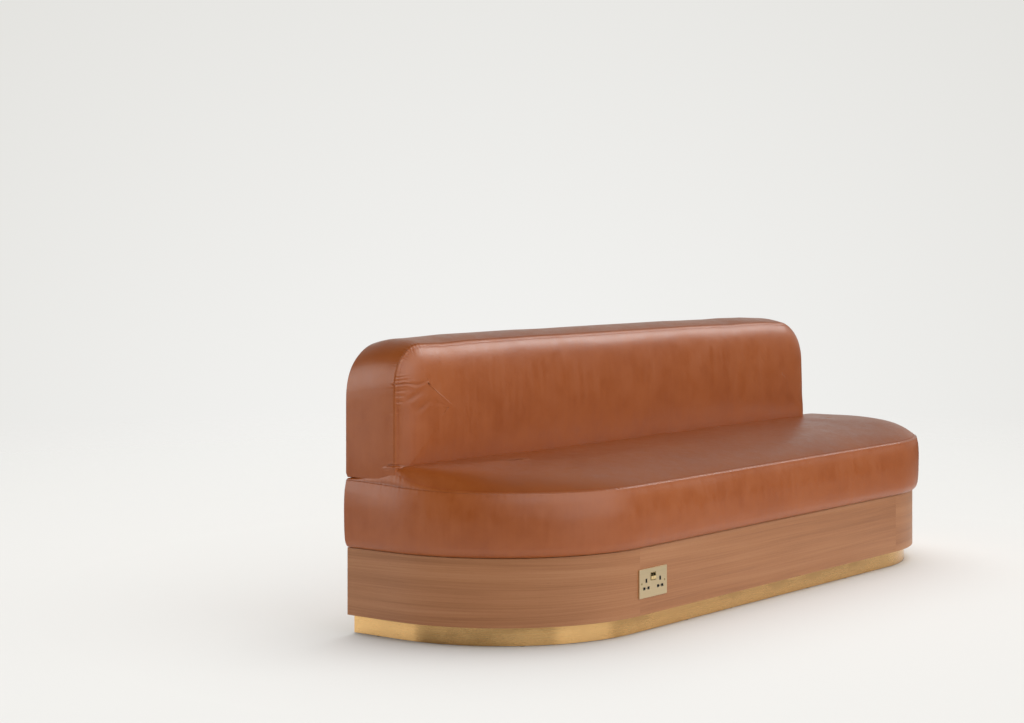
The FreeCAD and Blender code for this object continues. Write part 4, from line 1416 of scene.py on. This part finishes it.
@dataclass
class BackCushion(Cushion):
    """Back: a side band from the rear to a seam, and a crowned front panel gathered at its corners."""

    name: str = "back"
    stitch_gap: float = 0.012
    stitch_margin: int = 16
    groove: float = 0.0012
    pucker: Ripples = Ripples(0.00024, (0.015, 1.0), 21)
    sway: Ripples = Ripples(0.0006, (0.50, 0.35), 7)
    thick_axis: int = 1
    first_level: float = 0.0052
    last_inset: float = 0.120
    closing_shares: tuple[float, ...] = (0.10, 0.22, 0.36, 0.52, 0.70, 0.86)
    crease_share: float = 0.5
    rubs: tuple[Triple, ...] = ((0.004, 0.005, 1.0),)

    side_points: int = 125
    side_crowding: float = 1.15
    corner_points: int = 150
    far_points: int = 330
    foot_radius: float = 0.007
    left: float = -1.336
    length: float = 2.362
    foot: float = 0.4693
    height: float = 0.417
    corner_radius: float = 0.166
    band_depth: float = 0.190
    band_bulge: float = 0.015
    end_bulge: float = 0.005
    end_lean: float = 0.003
    corner_pull: Pair = (0.034, -0.012)
    crown: float = 0.036
    crown_reach: float = 0.030
    bow_share: float = 0.38
    upper: Pair = (0.332, 0.407)
    right_leans: tuple[Triple, ...] = ((0.0045, 0.14, 0.27), (0.0015, 0.05, 0.15))
    right_flare: Triple = (0.006, 0.05, 0.13)
    left_lean: Triple = (0.002, 0.22, 0.29)
    top_line: tuple[Pair, ...] = (
        (-1.336, -0.0045), (-1.24, -0.0042), (-1.14, -0.0046), (-1.05, -0.0025), (-0.97, 0.0), (-0.75, 0.001),
        (-0.60, 0.0015), (-0.45, 0.0), (-0.20, 0.0), (0.25, 0.0), (0.42, -0.0015), (0.52, -0.0035),
        (0.62, -0.0020), (0.75, -0.0030), (0.86, -0.0090), (1.026, -0.0110))
    seam_line: tuple[Pair, ...] = (
        (-1.336, 0.0), (-1.27, 0.0030), (-1.22, 0.0050), (-1.15, 0.0035), (-1.07, 0.0), (1.026, 0.0))
    rear_edge: tuple[Pair, ...] = (
        (0.08, 0.0050), (0.040, 0.0048), (0.0245, 0.0046), (0.0232, 0.0036), (0.0222, 0.0018),
        (0.0208, 0.0006), (0.0190, 0.0001), (0.0172, 0.0004), (0.0157, 0.0018))
    rear_edge_rise: float = 0.6
    band_even: tuple[float, float, int] = (0.022, 0.80, 26)
    below_seam: tuple[float, ...] = (
        0.83, 0.855, 0.88, 0.90, 0.92, 0.935, 0.95, 0.962, 0.972, 0.98, 0.9865, 0.992, 0.996)
    lift_rise: Pair = (0.55, 1.0)
    lift_insets: Pair = (0.0, 0.12)
    panel_stretch: float = 1.3
    panel_insets: tuple[float, ...] = (
        0.0, 0.0006, 0.0013, 0.0020, 0.0029, 0.0040, 0.0052, 0.0063, 0.0072, 0.0081, 0.0090, 0.0100, 0.0115,
        0.0135, 0.016, 0.019, 0.0225, 0.0265, 0.031, 0.036, 0.042, 0.049, 0.057, 0.066, 0.076, 0.087, 0.098,
        0.109)
    folds: tuple[Fold, ...] = (
        Fold(((-1.331, 0.172, 0.7765), (-1.318, 0.160, 0.776), (-1.302, 0.152, 0.7785),
              (-1.280, 0.145, 0.780)), 0.0024, 0.0024),
        Fold(((-1.337, 0.186, 0.7545), (-1.325, 0.165, 0.7545), (-1.302, 0.152, 0.757),
              (-1.272, 0.143, 0.7535)), 0.0024, 0.0027),
        Fold(((-1.300, 0.152, 0.757), (-1.255, 0.141, 0.751), (-1.225, 0.137, 0.760),
              (-1.190, 0.134, 0.770)), 0.0009, 0.0045),
        Fold(((-1.262, 0.141, 0.672), (-1.215, 0.136, 0.700), (-1.168, 0.132, 0.729)), 0.0008, 0.0085),
        Fold(((-1.302, 0.152, 0.704), (-1.262, 0.142, 0.722), (-1.220, 0.137, 0.741)), 0.0008, 0.0070),
        Fold(((-1.331, 0.171, 0.735), (-1.296, 0.151, 0.737)), 0.0010, 0.0028),
        Fold(((-1.331, 0.171, 0.720), (-1.300, 0.152, 0.722)), 0.0009, 0.0030),
        Fold(((-1.331, 0.171, 0.704), (-1.304, 0.153, 0.703)), 0.0008, 0.0030),
        Fold(((0.985, 0.150, 0.800), (0.952, 0.140, 0.780)), 0.0007, 0.0035),
        Fold(((1.008, 0.158, 0.745), (0.966, 0.142, 0.740)), 0.0007, 0.0035))
    puckers: tuple[Pair, ...] = (
        (30.0, 0.5), (37.0, 0.4), (44.0, 1.0), (51.5, 0.5), (59.0, 1.0), (64.5, 0.45), (70.0, 0.9),
        (77.0, 0.4), (84.0, 0.5))
    pucker_widths: Pair = (0.9, 1.5)
    pucker_lengths: Pair = (0.009, 0.018)
    pucker_leans: Pair = (-240.0, 240.0)
    pucker_lip: Pair = (0.3, 2.1)
    pucker_start: Pair = (-0.001, 0.003)
    pucker_on_band: Pair = (0.7, 0.012)
    left_gather: tuple[int, float] = (3, 0.0016)
    right_gather: tuple[int, float] = (8, 0.0008)
    tuck_height: float = 0.0492
    tuck_slope: float = 5.0
    tuck_reach: Pair = (0.012, 0.046)
    tuck_valley: Pair = (-0.0042, 0.0022)
    tuck_flap: Pair = (0.0050, 0.0042)
    tuck_flap_drop: float = 0.0064
    under_pull: float = 0.002
    under_height: float = 0.030
    # Strength and limit of the painted shade in the gathers, folds and tuck.
    fold_shading: float = 170.0
    tuck_shading: float = 100.0
    most_shading: float = 0.45

    def __post_init__(self) -> None:
        """Sets out the elevation."""
        self.middle = self.left + self.length / 2
        side = np.linspace(0.0, 1.0, self.side_points)[1:] ** self.side_crowding
        self.outline = PadOutline(self.length / 2, self.height, self.corner_radius, self.foot_radius, side,
                                  self.corner_points, self.far_points)
        self.skin = PadSkin(self.outline, self.last_inset, mirrored=True)
        self.run = self.outline.run_length()
        along, up = self.outline.plain_ring()[: self.outline.count].T
        above = smooth_step(up, *self.upper)
        lean = sum(size * smooth_step(up, *ends) for size, *ends in self.right_leans)
        (flare, *flare_ends), (left_lean, *left_ends) = self.right_flare, self.left_lean
        right_side = lean - flare * fade(up, *flare_ends)
        side_lean = np.where(along > 0.0, right_side, left_lean * smooth_step(up, *left_ends))
        self.fall = read_line(self.top_line, along + self.middle) * above - side_lean * (1.0 - above)
        self.lift = read_line(self.seam_line, along + self.middle) * above

    def level(self, inset: float) -> np.ndarray:
        """How far the front panel stands out from the rear.

        Args:
            inset: Distance in from its seam.

        Returns:
            The same distance for every column.
        """
        bow = 1.0 - (1.0 - min(inset / (self.height / 2), 1.0)) ** 2
        edge = 1.0 - math.exp(-inset / self.crown_reach)
        rise = self.crown * ((1.0 - self.bow_share) * edge + self.bow_share * bow)
        return np.full(self.outline.columns, self.band_depth + rise)

    def corners(self, inset: float, pulled: float) -> Pair:
        """Radius of the left and right corners, at an inset and a share of their pull."""
        return tuple(self.corner_radius - inset - pull * pulled for pull in self.corner_pull)

    def rows(self) -> list[PadRow]:
        """Rings from the turned-in rear edge, along the band, over the seam and onto the front.

        Returns:
            The rings in order.
        """
        rows = []
        for inset, depth in self.rear_edge:
            end = self.end_bulge + inset - self.band_bulge - self.end_lean
            close, turn = -inset * self.rear_edge_rise, self.corners(inset, 0.0)
            rows.append(PadRow((-end, -end), -inset, close, turn, depth, self.UNSEEN, self.fall))
        for share in (*np.linspace(*self.band_even), *self.below_seam):
            depth, bow = self.band_depth * share, (2.0 * share - 1.0) ** 2
            inset = self.band_bulge * bow
            end = self.end_bulge * bow - self.end_lean * (1.0 - share)
            swell = self.fall + self.lift * smooth_step(share, *self.lift_rise)
            turn = self.corners(inset, share)
            rows.append(PadRow((-end, -end), -inset, 0.0, turn, depth, depth - self.band_depth, swell))
        for step in (*self.panel_insets, self.last_inset):
            end, inset = self.end_bulge + step, self.band_bulge + step
            swell = (self.fall + self.lift) * fade(step, *self.lift_insets)
            turn, past = self.corners(inset, 1.0), self.panel_stretch * step
            rows.append(PadRow((-end, -end), -inset, -step, turn, self.level(step), past, swell))
        return rows

    def placed(self, local: np.ndarray) -> np.ndarray:
        """Local points moved into the bench's frame."""
        along, out, height = np.moveaxis(local, -1, 0)
        return np.stack([along + self.middle, REAR_Y - height, out + self.foot], axis=-1)

    def gathers(self, past: np.ndarray) -> np.ndarray:
        """Height of the short puckers across the seam round the two upper corners.

        Args:
            past: Distance past the seam of each row, as a column.

        Returns:
            Height at each row and column, in metres.
        """
        outline = self.outline
        (lip, lip_gap), (band_share, band_length) = self.pucker_lip, self.pucker_on_band
        total = np.zeros((len(past), outline.columns))
        angles = np.degrees(outline.corner_turn)
        for corner, turn, (seed, strength) in ((outline.left_corner, angles, self.left_gather),
                                               (outline.right_corner, angles[::-1], self.right_gather)):
            chance = np.random.default_rng(seed)
            for centre, share in self.puckers:
                width = chance.uniform(*self.pucker_widths)
                length = chance.uniform(*self.pucker_lengths)
                lean = chance.uniform(*self.pucker_leans)
                across = turn[None, :] - centre - lean * past
                fold = lip * bell(np.abs(across) - lip_gap * width, width) - bell(across, width)
                on_panel = np.exp(-past / length) * smooth_step(past, *self.pucker_start)
                panel = np.where(past > 0.0, on_panel, 0.0)
                on_band = band_share * np.exp(past / band_length)
                band = np.where((past <= 0.0) & (past > self.FIRST_SEEN), on_band, 0.0)
                total[:, corner] += strength * share * fold * (panel + band)
        return total

    def tuck(self, points: np.ndarray) -> np.ndarray:
        """Height of the flap of leather turned in where the left seam meets the seat.

        Args:
            points: Places on the leather.

        Returns:
            Height at each place, in metres.
        """
        seam = np.array([self.left + self.end_bulge, REAR_Y - self.band_depth])
        away = np.linalg.norm(points[..., :2] - seam, axis=-1)
        level = points[..., 2] - self.foot - self.tuck_height + self.tuck_slope * away * away
        (valley, valley_width), (flap, flap_width) = self.tuck_valley, self.tuck_flap
        shape = valley * bell(level, valley_width) + flap * bell(level + self.tuck_flap_drop, flap_width)
        return fade(away, *self.tuck_reach) * shape

    def pulled_under(self, points: np.ndarray, past: np.ndarray) -> np.ndarray:
        """How far the band draws in above the seat, where its lower edge is pulled under."""
        seen_band = (past > self.FIRST_SEEN) * (past < 0.0)
        return -self.under_pull * bell(points[..., 2] - self.foot, self.under_height) * seen_band

    def surface(self, points: np.ndarray, past: np.ndarray) -> tuple[np.ndarray, np.ndarray]:
        """Height of the seam, waves, gathers, folds and tuck, and the painted shade in their creases.

        Args:
            points: Places on the leather.
            past: Distance past the seam of each row, as a column.

        Returns:
            Height in metres, and painted shade, at each row and column.
        """
        creases = self.gathers(past) + sum(fold.height(points) for fold in self.folds)
        tuck = self.tuck(points)
        height = self.seam.height(past, self.stitch_gap, self.groove) + self.waves(points, past)
        height = height + creases + tuck + self.pulled_under(points, past)
        # Painted shade in the gathers, folds and the tuck's valley.
        fold_and_tuck_shade = -creases * self.fold_shading - np.minimum(tuck, 0.0) * self.tuck_shading
        return height, np.clip(fold_and_tuck_shade, 0.0, self.most_shading)


@dataclass
class BaseBox:
    """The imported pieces: veneered base, brass kick plate, socket, rear panel and the timber inside."""

    leaves: dict[str, Leaf] = field(default_factory=lambda: {
        "left_veneer": Leaf.LEFT, "front_veneer": Leaf.FRONT, "right_veneer": Leaf.RIGHT})
    # Nodes given the darker brass.
    dark_brass_nodes: tuple[str, ...] = ("switch_moulding", "faceplate_screws")

    def dress(self, paints: Paintbox, frame: dict) -> None:
        """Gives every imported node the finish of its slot.

        Args:
            paints: The finishes.
            frame: The loaded model.
        """
        slots = {part["node"]: part["material_slot"] for part in frame["record"]["subparts"]}
        for name, node in frame["nodes"].items():
            leaf = self.leaves.get(name)
            finish = paints.leaves[leaf] if leaf else paints.by_slot[slots[name]]
            paints.dress(node, paints.dark_brass if name in self.dark_brass_nodes else finish)


@dataclass
class PinSurrounds:
    """Thin black frames let into the faceplate round the six pin slots of the socket."""

    socket_x: float = -0.741
    socket_z: float = 0.153
    outlet_gap: float = 0.0365
    face_y: float = -0.3450
    proud: float = 0.0003
    depth: float = 0.0010
    slots: tuple[tuple[float, float, float, float], ...] = (
        (0.0, 0.0075, 0.0048, 0.0088), (0.0111, -0.015, 0.0072, 0.0048), (-0.0111, -0.015, 0.0072, 0.0048))
    rim: float = 0.0019

    def frame(self, x: float, z: float, width: float, height: float) -> tuple[list[Triple], list[tuple]]:
        """One frame, open in the middle.

        Args:
            x: Middle of the slot along the bench.
            z: Height of its middle.
            width: Width of the slot.
            height: Height of the slot.

        Returns:
            Its points and faces.
        """
        points = []
        for y in (self.face_y - self.proud, self.face_y + self.depth):
            for grow in (self.rim, 0.0):
                half_x, half_z = width / 2 + grow, height / 2 + grow
                points += [(x + a * half_x, y, z + b * half_z) for a, b in SQUARE]
        faces = []
        for k in range(4):
            n = (k + 1) % 4
            faces += [(k, n, 4 + n, 4 + k), (8 + n, 8 + k, 12 + k, 12 + n),
                      (n, k, 8 + k, 8 + n), (4 + k, 4 + n, 12 + n, 12 + k)]
        return points, faces

    def build(self) -> bpy.types.Object:
        """Builds the six frames as one piece.

        Returns:
            The piece.
        """
        points, faces = [], []
        for side in (-1.0, 1.0):
            for across, up, width, height in self.slots:
                place = (self.socket_x + side * self.outlet_gap + across, self.socket_z + up)
                more, shape = self.frame(*place, width, height)
                faces += [tuple(len(points) + k for k in face) for face in shape]
                points += more
        return make_piece("pin_surrounds", points, faces)


@dataclass(frozen=True)
class Lamp:
    """Broad distant light: its bearing from +X towards +Y, height over the horizon and width in degrees."""

    name: str
    turn: float
    height: float
    strength: float
    width: float
    only_floor: bool = False


@dataclass
class Studio:
    """Pale seamless floor and backdrop, soft light and the camera."""

    near: Colour = (0.943, 0.941, 0.926)
    far: Colour = (0.745, 0.738, 0.708)
    spread: float = 0.45
    backdrop_tilt: float = -10.4
    wall_spread: Pair = (0.45, 1.25)
    room: float = 0.03
    fill: float = 0.06
    fill_colour: Colour = (0.98, 0.99, 1.0)
    floor_size: float = 70.0
    floor_tone: float = 0.86
    floor_drift: Cloud = Cloud(0.5)
    floor_drift_tone: float = 0.985
    floor_share: float = 0.88
    floor_ends: Pair = (2.2, 7.0)
    floor_level: float = 0.93
    floor_shine: Pair = (0.90, 0.03)
    floor_near: Pair = (0.9, 2.4)
    floor_squash: Triple = (0.5, 1.0, 1.0)
    camera_place: Triple = (-6.021, -3.932, 1.207)
    heading: float = 52.0
    lens: float = 74.61
    film_width: float = 36.0
    shift: float = -0.1279
    farthest: float = 200.0
    lamp_colour: Colour = (1.0, 0.99, 0.97)
    lamps: tuple[Lamp, ...] = (
        Lamp("front_light", 280.0, 12.0, 0.90, 48.0),
        Lamp("key_light", 330.0, 29.0, 0.95, 22.0),
        Lamp("left_light", 240.0, 40.0, 1.10, 48.0),
        Lamp("rear_light", 128.0, 10.0, 1.35, 54.0),
        Lamp("floor_rear_light", 42.0, 64.0, 1.9, 70.0, only_floor=True),
        Lamp("floor_front_light", 298.0, 60.0, 1.55, 80.0, only_floor=True))

    def floor(self) -> bpy.types.Object:
        """Builds the floor, which fades into the backdrop away from the bench.

        Returns:
            The floor.
        """
        corners = [(a * self.floor_size, b * self.floor_size, 0) for a, b in SQUARE]
        piece = make_piece("studio_floor", corners, [(0, 1, 2, 3)])
        graph = Graph("pale_floor")
        place = graph.position()
        plain, drift = scaled(self.near, self.floor_tone), graph.noise(place, self.floor_drift)
        colour = graph.blend(drift, plain, scaled(plain, self.floor_drift_tone))
        graph.set(Base_Color=colour, Roughness=1.0, Specular_IOR_Level=0.0)
        share = graph.span(graph.measure("LENGTH", place), self.floor_ends, (self.floor_share, 0.0))
        matt = graph.lobe("ShaderNodeBsdfDiffuse", Color=scaled(self.near, self.floor_level))
        seen = graph.either(share, graph.lobe("ShaderNodeBsdfTransparent"), matt)
        away = graph.measure("LENGTH", graph.stretch(place, self.floor_squash))
        close, distant = (scaled(self.near, shine) for shine in self.floor_shine)
        shine = graph.blend(graph.span(away, self.floor_near), close, distant)
        path = graph.node("ShaderNodeLightPath", {}).outputs
        mirrored = graph.lobe("ShaderNodeBsdfDiffuse", Color=shine)
        unseen = graph.either(path["Is Glossy Ray"], graph.shader.outputs[0], mirrored)
        graph.feed(graph.output, "Surface", graph.either(path["Is Camera Ray"], unseen, seen))
        piece.data.materials.append(graph.material)
        return piece

    def world(self) -> None:
        """Fills shadows faintly and shows the pale backdrop.

        Reflections see the backdrop only round the camera's heading, and a dim room elsewhere.
        """
        world = bpy.data.worlds.new("studio")
        bpy.context.scene.world = world
        graph = Graph("studio", world)
        ray = graph.node("ShaderNodeTexCoord", {}).outputs["Generated"]
        angle, down = math.radians(self.heading), math.radians(self.backdrop_tilt)
        middle = (math.sin(angle) * math.cos(down), math.cos(angle) * math.cos(down), math.sin(down))
        turn = graph.maths("ARCCOSINE", graph.measure("DOT_PRODUCT", ray, middle))
        backdrop = graph.blend(graph.span(turn, (0.0, self.spread)), self.near, self.far)
        path = graph.node("ShaderNodeLightPath", {}).outputs
        glossy = path["Is Glossy Ray"]
        wall = graph.span(turn, self.wall_spread, (1.0, self.room))
        strength = graph.maths("MAXIMUM", wall, graph.maths("SUBTRACT", 1.0, glossy))
        seen = graph.lobe("ShaderNodeBackground", Color=backdrop, Strength=strength)
        light = graph.lobe("ShaderNodeBackground", Color=self.fill_colour, Strength=self.fill)
        shown = graph.maths("MAXIMUM", path["Is Camera Ray"], glossy)
        shown = graph.maths("MAXIMUM", shown, path["Is Transmission Ray"])
        graph.feed(graph.output, "Surface", graph.either(shown, light, seen))

    def light(self, lamp: Lamp, ground: bpy.types.Object) -> None:
        """Adds a lamp that falls on the floor alone, or on all but the floor.

        Args:
            lamp: The lamp.
            ground: The floor.
        """
        data = bpy.data.lights.new(lamp.name, "SUN")
        data.energy = lamp.strength
        data.angle = math.radians(lamp.width)
        data.color = self.lamp_colour
        across, up = math.radians(lamp.turn), math.radians(lamp.height)
        way = Vector((math.cos(across) * math.cos(up), math.sin(across) * math.cos(up), math.sin(up)))
        hung = put_in_scene(lamp.name, data)
        hung.rotation_mode = "QUATERNION"
        hung.rotation_quaternion = way.to_track_quat("Z", "Y")
        group = bpy.data.collections.new(lamp.name + "_falls_on")
        group.objects.link(ground)
        group.collection_objects[0].light_linking.link_state = "INCLUDE" if lamp.only_floor else "EXCLUDE"
        hung.light_linking.receiver_collection = group

    def camera(self) -> None:
        """Adds the camera at the photograph's viewpoint."""
        data = bpy.data.cameras.new("camera")
        data.sensor_width = self.film_width
        data.lens = self.lens
        data.shift_y = self.shift
        data.clip_end = self.farthest
        camera = put_in_scene("camera", data)
        camera.location = self.camera_place
        camera.rotation_euler = (math.pi / 2, 0.0, -math.radians(self.heading))
        bpy.context.scene.camera = camera

    def build(self) -> None:
        """Builds the studio."""
        ground = self.floor()
        self.world()
        for lamp in self.lamps:
            self.light(lamp, ground)
        self.camera()
        bpy.context.scene.view_settings.view_transform = "Standard"


def main() -> None:
    """Builds the studio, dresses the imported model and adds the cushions."""
    logging.basicConfig(level=logging.INFO)
    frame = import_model()
    Studio().build()
    paints = Paintbox()
    BaseBox().dress(paints, frame)
    for cushion, node in ((SeatCushion(), "seat_cushion"), (BackCushion(), "back_cushion")):
        leather, stitches = cushion.build()
        paints.dress(leather, paints.leather)
        paints.dress(stitches, paints.thread)
        for piece in (leather, stitches):
            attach(piece, "bench")
            LOG.info("%s: %d points", piece.name, len(piece.data.vertices))
        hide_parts(node)
    surrounds = PinSurrounds().build()
    paints.dress(surrounds, paints.by_slot["black_plastic"])
    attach(surrounds, "bench")


if __name__ == "__main__":
    main()
